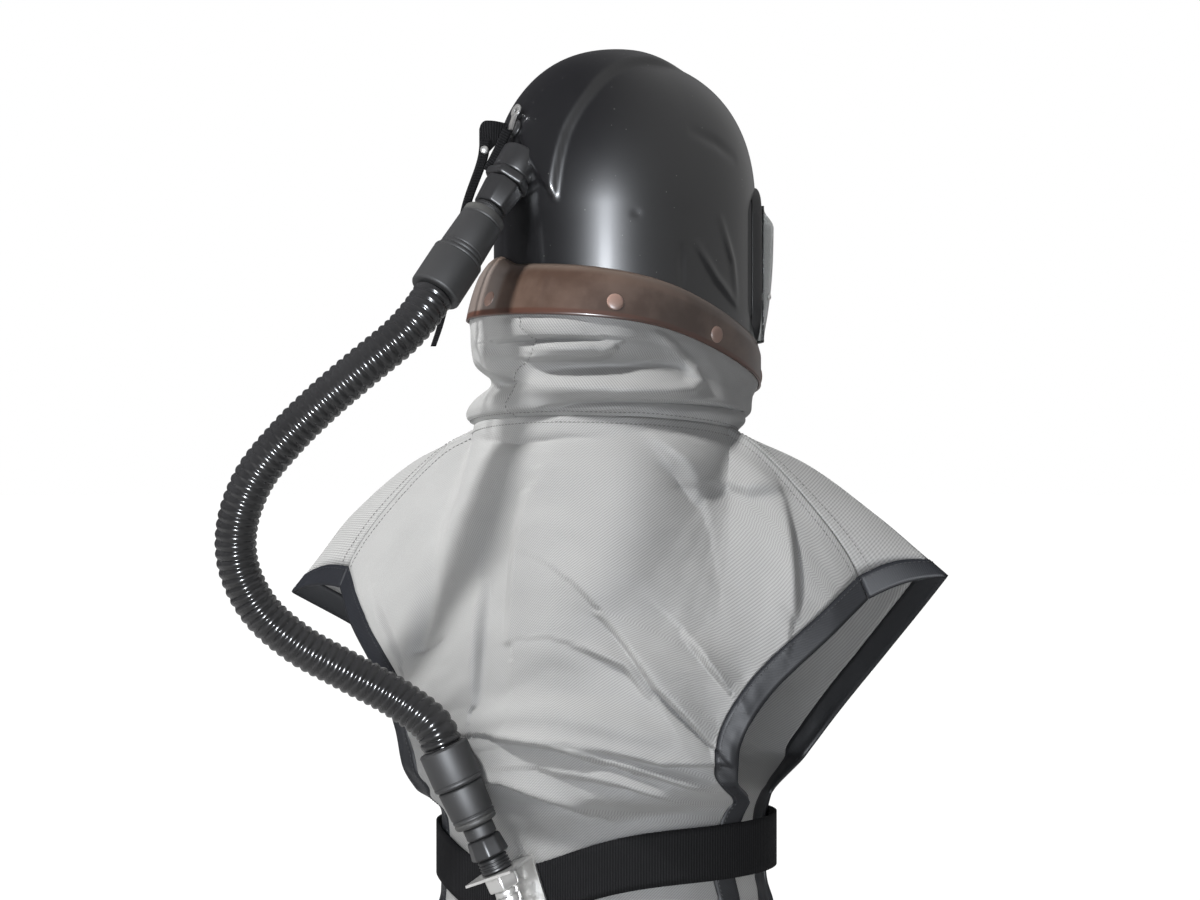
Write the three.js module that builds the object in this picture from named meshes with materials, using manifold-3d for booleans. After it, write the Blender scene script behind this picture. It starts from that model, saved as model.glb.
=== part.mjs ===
// Supplied-air helmet with its neck hood, cape, breathing hose and belt, as worn.
// Millimetres, +Z up. The chest faces -Y and the wearer's left is +X.
// The origin is the middle of the head inside the shell. The helmet is turned to the wearer's right.

import * as THREE from 'three';
import { mergeVertices } from 'three/addons/utils/BufferGeometryUtils.js';
import Module from 'manifold-3d';

const wasm = await Module();
wasm.setup();

// Clearance that touching pieces keep.
const GAP = 0.3;

// Helmet: how far it is turned about Z, and the neck's axis in the head's frame.
const HEAD_TURN = THREE.MathUtils.degToRad(-30);
const NECK_AXIS = { x: 11, y: 19 };

// Shell: half sizes of its plan, heights, wall, how square its sections are, and its facets.
const SHELL = {
  halfWidth: 112,
  halfLength: 130,
  top: 121,
  equator: -30,
  wall: 3.5,
  planPower: 2.25,
  planPowerFront: 0.25,
  sidePower: 2.28,
  sidePowerFront: 0.2,
  crownBack: 4,
  around: 36,
  domeRows: 6,
};

// The top of the clamp band round the rim: its height at the side, and how it falls to the front.
const RIM = { side: -117, tilt: -42.5, bow: -11.5, shellBelowBandTop: 27 };

// Air duct, the raised ridge over the crown: its height, where it fades out in front of the crown,
// the top of the arch at its foot, and its half width at each height.
const DUCT = { height: 7, archTop: 30, frontEnd: -50, fade: 60, sunk: 1 };
const DUCT_OUTLINE = [
  { z: -24, halfWidth: 45 },
  { z: 36, halfWidth: 48 },
  { z: 71, halfWidth: 53 },
  { z: 150, halfWidth: 53 },
];

// Visor opening in the shell's front, the rings that fill it, and the lens on them.
// Depths are from the head's middle to the ring at its sides; the rings bow forward between them.
const VISOR = {
  halfWidth: 98,
  top: -2,
  bottom: -163,
  browCorner: 30,
  chinCorner: 50,
  rim: 13,
  bow: 38,
  gasketBack: 64,
  gasketFront: 81,
  frameFront: 94,
};
const LENS = {
  inset: 5,
  top: -22,
  bottom: -154,
  bulge: 22,
  middleDip: 0.35,
  wall: 2.5,
  gap: 0.8,
  sidePower: 12,
  dropPower: 2.9,
};
const VISOR_SCREW = { radius: 3.6, height: 2.4, across: 0.93, down: 0.66, lift: -0.2 };

// Clamp band of rubber round the rim, its flare at the nape, and its studs.
const BAND = { height: 41, heightBack: 6, wall: 2.4, standOff: 2.9, flare: 23 };
const STUD = { radius: 8, height: 3.2, down: 0.66, count: 7, first: -133, step: 51.4, lift: 0.3 };

// Neck hood: cloth tube from under the band down to the neck seam.
const CLOTH = 2;
const NECK_SEAM = { halfWidth: 128, halfDepth: 105, back: -226, front: -250 };
// The hood's first part lies under the band, from a part of the band's height down.
const UNDER_BAND = { from: 0.25, share: 0.2 };
// Folds of the hood: ends by angle from the chest (degrees, left positive) and part of the drop.
const HOOD_FOLD_SCALE = { degree: 2, drop: 110 };
const HOOD_FOLDS = [
  { angle0: 85, along0: 0.58, angle1: 138, along1: 0.62, height: -22, width: 15 },
  { angle0: 80, along0: 0.88, angle1: 150, along1: 0.9, height: 9, width: 14 },
  { angle0: 120, along0: 0.25, angle1: 190, along1: 0.42, height: 9, width: 13 },
  { angle0: 150, along0: 0.72, angle1: 232, along1: 0.6, height: 12, width: 15 },
  { angle0: 185, along0: 0.4, angle1: 262, along1: 0.3, height: 8, width: 14 },
  { angle0: 175, along0: 0.98, angle1: 225, along1: 0.84, height: -8, width: 10 },
  { angle0: 225, along0: 0.86, angle1: 292, along1: 0.78, height: 9, width: 14 },
  { angle0: 285, along0: 0.5, angle1: 350, along1: 0.62, height: 8, width: 15 },
  { angle0: 10, along0: 0.4, angle1: 70, along1: 0.6, height: 8, width: 15 },
];

// Cape: rows across each panel, from the shoulder down to the hem.
// mid is the panel's middle line and edge its side. The y values are behind the neck's axis.
const BACK_ROWS = [
  { down: 0, midY: 105, midZ: -229, edgeX: 267, edgeY: 30, edgeZ: -395 },
  { down: 0.12, midY: 118, midZ: -290, edgeX: 240, edgeY: 62, edgeZ: -428 },
  { down: 0.28, midY: 132, midZ: -375, edgeX: 194, edgeY: 95, edgeZ: -478 },
  { down: 0.42, midY: 139, midZ: -450, edgeX: 170, edgeY: 110, edgeZ: -522 },
  { down: 0.55, midY: 141, midZ: -520, edgeX: 164, edgeY: 102, edgeZ: -562 },
  { down: 0.66, midY: 131, midZ: -588, edgeX: 150, edgeY: 74, edgeZ: -602 },
  { down: 0.74, midY: 119, midZ: -640, edgeX: 145, edgeY: 54, edgeZ: -640 },
  { down: 0.83, midY: 126, midZ: -695, edgeX: 152, edgeY: 62, edgeZ: -690 },
  { down: 1, midY: 134, midZ: -800, edgeX: 162, edgeY: 70, edgeZ: -795 },
];
const FRONT_ROWS = [
  { down: 0, midY: -112, midZ: -270, edgeX: 335, edgeY: 4, edgeZ: -388 },
  { down: 0.24, midY: -128, midZ: -380, edgeX: 258, edgeY: -66, edgeZ: -460 },
  { down: 0.42, midY: -132, midZ: -480, edgeX: 190, edgeY: -98, edgeZ: -535 },
  { down: 0.62, midY: -126, midZ: -588, edgeX: 148, edgeY: -78, edgeZ: -602 },
  { down: 0.71, midY: -119, midZ: -640, edgeX: 143, edgeY: -59, edgeZ: -640 },
  { down: 0.81, midY: -124, midZ: -695, edgeX: 148, edgeY: -68, edgeZ: -690 },
  { down: 1, midY: -130, midZ: -800, edgeX: 158, edgeY: -76, edgeZ: -795 },
];
// How the rows curve, how the columns spread, and how far down the top line's own curve still shows.
const PANEL = {
  depthPower: 2.2,
  dropPower: 1.7,
  evenShare: 0.35,
  spreadPower: 2.6,
  neckShare: 0.44,
  topReach: 0.5,
  topBlur: 2,
  columns: 16,
  foldScale: { across: 150, down: 570 },
};
// Shoulder seam behind the crest, by distance from the neck's axis.
const SHOULDER_SEAM = [
  { x: 127, y: 10, z: -236 },
  { x: 160, y: 20, z: -256 },
  { x: 215, y: 28, z: -312 },
  { x: 250, y: 30, z: -358 },
  { x: 267, y: 30, z: -395 },
];
// The shoulder's crest, where the front panel turns forward, with its height on each side.
const SHOULDER_CREST = [
  { x: 133.5, y: -10, left: -245, right: -245 },
  { x: 200, y: -7, left: -268, right: -273 },
  { x: 270, y: -3, left: -323, right: -322 },
  { x: 310, y: 1, left: -372, right: -354 },
  { x: 335, y: 4, left: -402, right: -374 },
];
const NECK_CREST = { halfWidth: 134, halfDepth: 112, side: -243, front: -270 };
// Distances along the cloth from the sewn lines: at the neck, and at the shoulders.
const SEAM_GAP = { neck: 3.3, shoulder: 0.8 };
// Gap between the cloth and its binding.
const BINDING = { width: 23, wall: 3, gap: 1.5 };

// Folds of the panels: ends across (-1 right edge, 1 left edge) and down, in panel parts.
const BACK_FOLDS = [
  { across0: -0.1, down0: 0.02, across1: 0.12, down1: 0.5, height: 9, width: 26 },
  { across0: 0.3, down0: 0.04, across1: 0.55, down1: 0.42, height: 9, width: 24 },
  { across0: -0.45, down0: 0.06, across1: -0.35, down1: 0.4, height: 8, width: 24 },
  { across0: 0.1, down0: 0.48, across1: -0.75, down1: 0.56, height: 10, width: 17 },
  { across0: -0.2, down0: 0.42, across1: -0.95, down1: 0.36, height: 8, width: 19 },
  { across0: 0.35, down0: 0.6, across1: -0.6, down1: 0.63, height: 9, width: 13 },
  { across0: 0.8, down0: 0.56, across1: 0.2, down1: 0.66, height: 7, width: 14 },
  { across0: -0.3, down0: 0.53, across1: -0.9, down1: 0.64, height: -8, width: 12 },
  { across0: 0.7, down0: 0.2, across1: 0.75, down1: 0.5, height: 8, width: 22 },
  { across0: -0.5, down0: 0.86, across1: -0.55, down1: 1, height: 8, width: 22 },
  { across0: 0.25, down0: 0.88, across1: 0.3, down1: 1, height: 8, width: 24 },
];
const FRONT_FOLDS = [
  { across0: -0.25, down0: 0.2, across1: -0.3, down1: 0.6, height: 10, width: 26 },
  { across0: 0.3, down0: 0.2, across1: 0.35, down1: 0.6, height: 10, width: 26 },
  { across0: 0.1, down0: 0.86, across1: 0.1, down1: 1, height: 8, width: 26 },
];
const PANELS = [
  { label: 'back', side: 1, rows: BACK_ROWS, folds: BACK_FOLDS, crestShare: 0, down: 18 },
  { label: 'front', side: -1, rows: FRONT_ROWS, folds: FRONT_FOLDS, crestShare: 0.12, down: 15 },
];
const CREST_BULGE = 5;
const HANDS = [{ hand: 'left', sign: 1 }, { hand: 'right', sign: -1 }];

// Belt of webbing round the waist, how it dips where the bracket hangs, and how it draws the cape in.
const BELT = { height: 50, wall: 3, halfWidth: 167, halfDepth: 123.2, z: -634, rise: 8, columns: 52 };
const BELT_DIP = { angle: 160, depth: 34, spread: 30 };
const CINCH = { flat: 38, fade: 34, gap: 1.8, widest: 0.96 };

// Air inlet: a stack of round couplings that leaves the shell's back, down and back.
const INLET = { start: { y: 139.5, z: -7 }, downAngle: THREE.MathUtils.degToRad(52) };
const BORE = 12;
const INLET_STACK = [
  { name: 'inlet_boss', from: -30, to: -4, radius: 21.5, endRadius: 20, sides: 12 },
  { name: 'inlet_lock_nut', from: -3.7, to: 6, radius: 22.5, endRadius: 22.5, sides: 6 },
  { name: 'inlet_gland_nut', from: 6.3, to: 35, radius: 19.5, endRadius: 17, sides: 12 },
  { name: 'inlet_neck', from: 35.3, to: 43, radius: 15, endRadius: 15, sides: 12 },
  { name: 'inlet_sleeve', from: 43.3, to: 93, radius: 20.5, endRadius: 22, sides: 12 },
  { name: 'inlet_cuff', from: 93.3, to: 138, radius: 24.5, endRadius: 24.5, sides: 12 },
];

// Outlet on the belt: the couplings above the bracket's flange, from its top face up.
const OUTLET = { foot: { x: 62.9, y: 163, z: -643.5 }, lean: { x: 0.381, y: 0.139, z: 0.914 } };
const OUTLET_STACK = [
  { name: 'outlet_body', from: 0.3, to: 15, radius: 15, endRadius: 14, sides: 12 },
  { name: 'outlet_gland_nut', from: 15.3, to: 34, radius: 18, endRadius: 16, sides: 12 },
  { name: 'outlet_neck', from: 34.3, to: 47, radius: 14.5, endRadius: 14.5, sides: 12 },
  { name: 'outlet_sleeve', from: 47.3, to: 86, radius: 20, endRadius: 21.5, sides: 12 },
  { name: 'outlet_cuff', from: 86.3, to: 124, radius: 23.5, endRadius: 23.5, sides: 12 },
];

// Bracket: a flange under the outlet and a plate that lies against the belt.
const BRACKET = { width: 52, plate: 2.5, flangeEnd: 20, drop: 58, beltGap: 0.4 };
const NIPPLE = { hexRadius: 16, hexHeight: 14, radius: 11, height: 22, bore: 7 };

// Breathing hose: outside radius, and the points of its route between the two cuffs.
const HOSE = { radius: 19.2, sides: 10, steps: 26 };
const HOSE_ROUTE = [
  { x: 133, y: 219, z: -154 },
  { x: 165, y: 237, z: -185 },
  { x: 200, y: 247, z: -216 },
  { x: 234, y: 253, z: -249 },
  { x: 264, y: 256, z: -285 },
  { x: 282, y: 254, z: -327 },
  { x: 284, y: 248, z: -364 },
  { x: 269, y: 237, z: -403 },
  { x: 238, y: 222, z: -435 },
  { x: 196, y: 204, z: -461 },
  { x: 152, y: 187, z: -487 },
];

// Strap at the back of the shell, beside the inlet, in the helmet's own frame.
const STRAP = { wall: 2.4, tailSteps: 12 };
const TAB_WIDTH = { start: 9, end: 40 };
const TAIL_WIDTH = { start: 10, end: 5 };
const STRAP_DISC = { radius: 9, height: 4, x: 9, down: 0.71, lift: -0.2 };
const STRAP_CLIP = { halfWidth: 6, wall: 2.4, below: 3, above: 25 };
const TAB_ROUTE = [
  { x: 11.2, y: 132.2, z: 48 },
  { x: 16, y: 145, z: 50 },
  { x: 23, y: 156, z: 50 },
];
const TAIL_ROUTE = [
  { x: 17, y: 153.4, z: 32 },
  { x: 18.4, y: 155.6, z: 14 },
  { x: 28, y: 167, z: -29 },
  { x: 33, y: 177, z: -83 },
  { x: 34, y: 193, z: -142 },
  { x: 34, y: 201, z: -162 },
];
const STRAP_RIVET = { radius: 4, height: 2, fromTop: 0.04 };

// Finishes.
function finish(color, roughness, metalness) {
  return new THREE.MeshStandardMaterial({ color, roughness, metalness });
}

const FINISH = {
  shell: finish(0x101114, 0.25, 0),
  blackRubber: finish(0x1b1b1d, 0.6, 0),
  blackPlastic: finish(0x17181a, 0.4, 0),
  lens: finish(0x8f979c, 0.1, 0),
  steel: finish(0xb8b8b6, 0.3, 1),
  brownRubber: finish(0x5a4133, 0.45, 0),
  cloth: finish(0xa5a098, 0.85, 0),
  binding: finish(0x2b2b2e, 0.85, 0),
  webbing: finish(0x1d1d20, 0.9, 0),
};

// Small helpers.
const UP = new THREE.Vector3(0, 0, 1);

function vector({ x, y, z }) {
  return new THREE.Vector3(x, y, z);
}

function mix(a, b, t) {
  return a + (b - a) * t;
}

function clamp01(t) {
  return Math.min(1, Math.max(0, t));
}

function smooth(t) {
  const s = clamp01(t);
  return s * s * (3 - 2 * s);
}

function bell(t) {
  return Math.exp(-t * t);
}

// A smooth value at t through the rows of a table, by cubic steps with finite slopes.
function through(rows, key, column, t) {
  const last = rows.length - 1;
  let i = 0;
  while (i < last - 1 && t > rows[i + 1][key]) i += 1;
  const slope = (k) => {
    const a = rows[Math.max(0, k - 1)];
    const b = rows[Math.min(last, k + 1)];
    return (b[column] - a[column]) / (b[key] - a[key]);
  };
  const span = rows[i + 1][key] - rows[i][key];
  const s = clamp01((t - rows[i][key]) / span);
  const rise = rows[i + 1][column] - rows[i][column];
  const a = slope(i) * span - rise;
  const b = rise - slope(i + 1) * span;
  return rows[i][column] + rise * s + s * (1 - s) * (a * (1 - s) + b * s);
}

// The part of a fold's height at a point: full along the middle of its line, fading to its ends.
const FOLD_END = 0.35;

function foldShape(place, start, end, width) {
  const line = end.clone().sub(start);
  const nearest = clamp01(place.clone().sub(start).dot(line) / line.lengthSq());
  const away = place.distanceTo(start.clone().addScaledVector(line, nearest));
  return mix(FOLD_END, 1, Math.sin(Math.PI * nearest)) * bell(away / width);
}

// A geometry from positions and faces, with the faces turned to point out of the body.
function facingOut(positions, faces) {
  let volume = 0;
  const corner = (k) => new THREE.Vector3().fromArray(positions, faces[k] * 3);
  for (let k = 0; k < faces.length; k += 3) {
    volume += corner(k).dot(corner(k + 1).cross(corner(k + 2)));
  }
  const turned = [];
  for (let k = 0; k < faces.length; k += 3) {
    const [a, b, c] = faces.slice(k, k + 3);
    turned.push(...(volume > 0 ? [a, b, c] : [a, c, b]));
  }
  const geometry = new THREE.BufferGeometry();
  geometry.setAttribute('position', new THREE.Float32BufferAttribute(positions, 3));
  geometry.setIndex(turned);
  geometry.computeVertexNormals();
  return geometry;
}

// The same geometry with shared vertices and its faces turned to point out.
function outward(geometry) {
  const bare = geometry.clone();
  bare.deleteAttribute('normal');
  bare.deleteAttribute('uv');
  const merged = mergeVertices(bare);
  const faces = [];
  const index = merged.index.array;
  for (let k = 0; k < index.length; k += 3) {
    const [a, b, c] = index.slice(k, k + 3);
    if (a !== b && b !== c && c !== a) faces.push(a, b, c);
  }
  return facingOut(Array.from(merged.attributes.position.array), faces);
}

// A closed body between two surfaces of (across, down), each from 0 to 1.
function layered(outer, inner, across, down, closed) {
  const columns = closed ? across : across + 1;
  const positions = [];
  for (const surface of [outer, inner]) {
    for (let j = 0; j <= down; j += 1) {
      for (let i = 0; i < columns; i += 1) {
        positions.push(...surface(i / across, j / down).toArray());
      }
    }
  }
  const layer = columns * (down + 1);
  const at = (side, i, j) => side * layer + j * columns + (i % columns);
  const faces = [];
  const quad = (a, b, c, d) => faces.push(a, b, c, a, c, d);
  for (let j = 0; j < down; j += 1) {
    for (let i = 0; i < across; i += 1) {
      quad(at(0, i, j), at(0, i + 1, j), at(0, i + 1, j + 1), at(0, i, j + 1));
      quad(at(1, i, j), at(1, i, j + 1), at(1, i + 1, j + 1), at(1, i + 1, j));
    }
  }
  for (let i = 0; i < across; i += 1) {
    quad(at(0, i, 0), at(1, i, 0), at(1, i + 1, 0), at(0, i + 1, 0));
    quad(at(0, i, down), at(0, i + 1, down), at(1, i + 1, down), at(1, i, down));
  }
  if (!closed) {
    for (let j = 0; j < down; j += 1) {
      quad(at(0, 0, j), at(0, 0, j + 1), at(1, 0, j + 1), at(1, 0, j));
      quad(at(0, across, j), at(1, across, j), at(1, across, j + 1), at(0, across, j + 1));
    }
  }
  return facingOut(positions, faces);
}

// A wall of a given thickness on both sides of one surface of (across, down).
function wall(surface, across, down, thickness, closed) {
  const columns = closed ? across : across + 1;
  const grid = [];
  for (let j = 0; j <= down; j += 1) {
    grid.push([]);
    for (let i = 0; i < columns; i += 1) grid[j].push(surface(i / across, j / down));
  }
  const neighbour = (i) => (closed ? (i + columns) % columns : Math.min(across, Math.max(0, i)));
  const normal = (i, j) => {
    const du = grid[j][neighbour(i + 1)].clone().sub(grid[j][neighbour(i - 1)]);
    const dv = grid[Math.min(down, j + 1)][i].clone().sub(grid[Math.max(0, j - 1)][i]);
    return du.cross(dv).normalize();
  };
  const offset = (by) => (u, v) => {
    const i = Math.round(u * across);
    const j = Math.round(v * down);
    return grid[j][i].clone().addScaledVector(normal(i, j), by);
  };
  return layered(offset(thickness / 2), offset(-thickness / 2), across, down, closed);
}

// Joining and cutting of closed bodies.
function solid(geometry) {
  const merged = outward(geometry);
  const mesh = new wasm.Mesh({
    numProp: 3,
    vertProperties: new Float32Array(merged.attributes.position.array),
    triVerts: new Uint32Array(merged.index.array),
  });
  return new wasm.Manifold(mesh);
}

function geometryOf(body) {
  const mesh = body.getMesh();
  const geometry = new THREE.BufferGeometry();
  geometry.setAttribute('position', new THREE.Float32BufferAttribute(mesh.vertProperties, 3));
  geometry.setIndex(Array.from(mesh.triVerts));
  geometry.computeVertexNormals();
  return geometry;
}

function block(x0, x1, y0, y1, z0, z1) {
  const geometry = new THREE.BoxGeometry(x1 - x0, y1 - y0, z1 - z0);
  geometry.translate((x0 + x1) / 2, (y0 + y1) / 2, (z0 + z1) / 2);
  return geometry;
}

// A prism along Y whose outline lies in the XZ plane.
function prism(shape, fromY, toY, curveSegments) {
  const options = { depth: toY - fromY, bevelEnabled: false, curveSegments };
  const geometry = new THREE.ExtrudeGeometry(shape, options);
  geometry.rotateX(Math.PI / 2);
  geometry.translate(0, toY, 0);
  return geometry;
}

// A turned ring with a bore, its axis along +Z from one end to the other.
const EDGE_SOFT = 2;

function turnedRing(from, to, radius, endRadius, bore, sides) {
  const soft = Math.min(EDGE_SOFT, (to - from) / 4);
  const profile = [
    new THREE.Vector2(bore, from),
    new THREE.Vector2(radius - soft, from),
    new THREE.Vector2(radius, from + soft),
    new THREE.Vector2(endRadius, to - soft),
    new THREE.Vector2(endRadius - soft, to),
    new THREE.Vector2(bore, to),
    new THREE.Vector2(bore, from),
  ];
  const geometry = new THREE.LatheGeometry(profile, sides);
  geometry.rotateX(Math.PI / 2);
  return outward(geometry);
}

// A low domed head that stands on Z = 0.
function turnedHead(radius, height, sides) {
  const profile = [
    new THREE.Vector2(0, 0),
    new THREE.Vector2(radius, 0),
    new THREE.Vector2(radius, height * 0.35),
    new THREE.Vector2(radius * 0.7, height * 0.85),
    new THREE.Vector2(0, height),
  ];
  const geometry = new THREE.LatheGeometry(profile, sides);
  geometry.rotateX(Math.PI / 2);
  return outward(geometry);
}

function named(name, geometry, material) {
  const mesh = new THREE.Mesh(geometry, material);
  mesh.name = name;
  return mesh;
}

// Turns an object so that its +Z points along a direction.
function aim(object, direction) {
  object.quaternion.setFromUnitVectors(UP, direction.clone().normalize());
  return object;
}

// Shell shape, in the helmet's own frame: angle 0 is the face (-Y), 90 degrees the left (+X).
function planRadius(angle) {
  const power = SHELL.planPower + SHELL.planPowerFront * Math.cos(angle);
  const a = Math.abs(Math.sin(angle) / SHELL.halfWidth) ** power;
  const b = Math.abs(Math.cos(angle) / SHELL.halfLength) ** power;
  return (a + b) ** (-1 / power);
}

function bandTop(angle) {
  const c = Math.cos(angle);
  return RIM.side + RIM.tilt * c + RIM.bow * c * c;
}

function onPlan(angle, radius, z) {
  return new THREE.Vector3(radius * Math.sin(angle), -radius * Math.cos(angle), z);
}

// A point of the dome grown by some millimetres, from its top at 0 down to the equator at 1.
function domePoint(angle, down, grow) {
  const turn = (down * Math.PI) / 2;
  const power = 2 / (SHELL.sidePower + SHELL.sidePowerFront * Math.cos(angle) * down);
  const out = Math.sin(turn) ** power;
  const up = Math.max(0, Math.cos(turn)) ** power;
  const rise = SHELL.top + grow - SHELL.equator;
  const point = onPlan(angle, (planRadius(angle) + grow) * out, SHELL.equator + rise * up);
  point.y += SHELL.crownBack * up * up;
  return point;
}

// A point of the duct's outer surface, less some millimetres: it sinks into the dome at its front end.
function ductPoint(angle, down, less) {
  const behind = domePoint(angle, down, 0).y - DUCT.frontEnd;
  return domePoint(angle, down, mix(-DUCT.sunk, DUCT.height, smooth(behind / DUCT.fade)) - less);
}

// A closed dome over a surface of (angle, down), filled, with a straight skirt down to a foot.
function dome(surface, foot, skirtRows) {
  const { around, domeRows } = SHELL;
  const rows = domeRows + skirtRows;
  const positions = surface(0, 0).toArray();
  for (let j = 1; j <= rows; j += 1) {
    for (let i = 0; i < around; i += 1) {
      const angle = (i / around) * 2 * Math.PI;
      const skirt = Math.max(0, j - domeRows) / skirtRows;
      const point = surface(angle, Math.min(1, j / domeRows));
      point.z = mix(point.z, foot(angle), skirt);
      positions.push(...point.toArray());
    }
  }
  const bottom = positions.length / 3;
  positions.push(0, 0, foot(Math.PI / 2));
  const at = (i, j) => 1 + (j - 1) * around + (i % around);
  const faces = [];
  for (let i = 0; i < around; i += 1) {
    faces.push(0, at(i, 1), at(i + 1, 1));
    for (let j = 1; j < rows; j += 1) {
      faces.push(at(i, j), at(i, j + 1), at(i + 1, j + 1));
      faces.push(at(i, j), at(i + 1, j + 1), at(i + 1, j));
    }
    faces.push(at(i, rows), bottom, at(i + 1, rows));
  }
  return facingOut(positions, faces);
}

// The duct's outline from behind, drawn in by some millimetres, with an arch at its foot.
function ductOutline(inset) {
  const shape = new THREE.Shape();
  shape.moveTo(0, DUCT.archTop + inset);
  for (const { z, halfWidth } of DUCT_OUTLINE) shape.lineTo(halfWidth - inset, z);
  for (const { z, halfWidth } of [...DUCT_OUTLINE].reverse()) shape.lineTo(-halfWidth + inset, z);
  shape.lineTo(0, DUCT.archTop + inset);
  return shape;
}

function duct(inset) {
  const outline = solid(prism(ductOutline(inset), DUCT.frontEnd, SHELL.halfLength * 2, 1));
  const flat = () => SHELL.equator - 1;
  const surface = (angle, down) => ductPoint(angle, down, inset);
  return solid(dome(surface, flat, 1)).intersect(outline);
}

function inletAxis() {
  return new THREE.Vector3(0, Math.cos(INLET.downAngle), -Math.sin(INLET.downAngle));
}

function inletPoint(along) {
  return new THREE.Vector3(0, INLET.start.y, INLET.start.z).addScaledVector(inletAxis(), along);
}

function visorOutline(inset) {
  const half = VISOR.halfWidth - inset;
  const bottom = VISOR.bottom + inset;
  const top = VISOR.top - inset;
  const chin = VISOR.chinCorner - inset;
  const brow = VISOR.browCorner - inset;
  const shape = new THREE.Shape();
  shape.moveTo(-half + chin, bottom);
  shape.lineTo(half - chin, bottom);
  shape.absarc(half - chin, bottom + chin, chin, -Math.PI / 2, 0, false);
  shape.lineTo(half, top - brow);
  shape.absarc(half - brow, top - brow, brow, 0, Math.PI / 2, false);
  shape.lineTo(-half + brow, top);
  shape.absarc(-half + brow, top - brow, brow, Math.PI / 2, Math.PI, false);
  shape.lineTo(-half, bottom + chin);
  shape.absarc(-half + chin, bottom + chin, chin, Math.PI, Math.PI * 1.5, false);
  return shape;
}

const CORNER_FACETS = 3;

function shellMesh() {
  const reach = 2 * SHELL.halfLength;
  const foot = (angle) => bandTop(angle) - RIM.shellBelowBandTop;
  const below = () => -reach;
  const outside = (angle, down) => domePoint(angle, down, 0);
  const inside = (angle, down) => domePoint(angle, down, -SHELL.wall);
  const outer = solid(dome(outside, foot, 2)).add(duct(0));
  const inner = solid(dome(inside, below, 1)).add(duct(SHELL.wall));
  const window = solid(prism(visorOutline(-GAP), -reach, -SHELL.halfWidth / 3, CORNER_FACETS));
  const [boss] = INLET_STACK;
  const holeRadius = boss.radius + GAP;
  const hole = new THREE.CylinderGeometry(holeRadius, holeRadius, 4 * boss.radius, boss.sides);
  hole.rotateX(Math.PI / 2);
  const place = aim(new THREE.Object3D(), inletAxis());
  place.position.copy(inletPoint(boss.from));
  place.updateMatrix();
  hole.applyMatrix4(place.matrix);
  const body = outer.subtract(inner).subtract(window).subtract(solid(hole));
  return named('shell', geometryOf(body), FINISH.shell);
}

// Visor: rings and lens that bow forward with the shell.
function visorBow(x) {
  return VISOR.bow * (1 - (x / VISOR.halfWidth) ** 2);
}

function visorRing(back, front) {
  const past = VISOR.halfWidth + 1;
  const surface = (depth) => (u, v) => {
    const x = (u * 2 - 1) * past;
    const z = mix(VISOR.top + 1, VISOR.bottom - 1, v);
    return new THREE.Vector3(x, -depth - visorBow(x), z);
  };
  const body = solid(layered(surface(back), surface(front), 12, 1, false));
  const reach = 2 * SHELL.halfLength;
  const outline = solid(prism(visorOutline(0), -reach, 0, CORNER_FACETS));
  const window = solid(prism(visorOutline(VISOR.rim), -reach, 0, CORNER_FACETS));
  return geometryOf(body.intersect(outline).subtract(window));
}

// A point of the lens: across from -1 (right) to 1 (left), and down from 0 to 1.
function lensPoint(across, down, depth) {
  const x = across * (VISOR.halfWidth - LENS.inset);
  const sides = 1 - Math.abs(across) ** LENS.sidePower;
  const ends = smooth(down / 0.14) * (1 - down ** LENS.dropPower);
  const middle = 1 - LENS.middleDip * (1 - across * across);
  const y = -depth - visorBow(x) - LENS.bulge * sides * ends * middle;
  return new THREE.Vector3(x, y, mix(LENS.top, LENS.bottom, down));
}

function visorMeshes() {
  const back = VISOR.frameFront + LENS.gap;
  const surface = (depth) => (u, v) => lensPoint(Math.sin((u - 0.5) * Math.PI), v, depth);
  const lens = layered(surface(back), surface(back + LENS.wall), 12, 7, false);
  const meshes = [
    named('visor_gasket', visorRing(VISOR.gasketBack, VISOR.gasketFront), FINISH.blackRubber),
    named('visor_frame', visorRing(VISOR.gasketFront + GAP, VISOR.frameFront), FINISH.blackPlastic),
    named('visor_lens', lens, FINISH.lens),
  ];
  const front = back + LENS.wall;
  for (const { hand, sign } of HANDS) {
    const across = sign * VISOR_SCREW.across;
    const { down } = VISOR_SCREW;
    const step = 0.02;
    const side = lensPoint(across + step, down, front).sub(lensPoint(across - step, down, front));
    const drop = lensPoint(across, down + step, front).sub(lensPoint(across, down - step, front));
    const out = side.cross(drop).normalize();
    if (out.x * sign < 0) out.negate();
    const head = turnedHead(VISOR_SCREW.radius, VISOR_SCREW.height, 12);
    const screw = aim(named(`visor_screw_${hand}`, head, FINISH.steel), out);
    screw.position.copy(lensPoint(across, down, front)).addScaledVector(out, VISOR_SCREW.lift);
    meshes.push(screw);
  }
  return meshes;
}

// The clamp band's mid surface: it lies on the shell at the top and flares out at the nape.
const BAND_FLARE_POWER = 0.65;

function bandFlare(angle) {
  return BAND.flare * smooth((-Math.cos(angle) - 0.1) / 0.9);
}

function bandPoint(angle, down, inward) {
  const stand = mix(GAP, BAND.standOff, clamp01(down / UNDER_BAND.from));
  const flare = bandFlare(angle) * down ** BAND_FLARE_POWER;
  const radius = planRadius(angle) + stand + BAND.wall / 2 - inward + flare;
  const height = BAND.height - BAND.heightBack * Math.cos(angle);
  return onPlan(angle, radius, bandTop(angle) - height * down);
}

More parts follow.
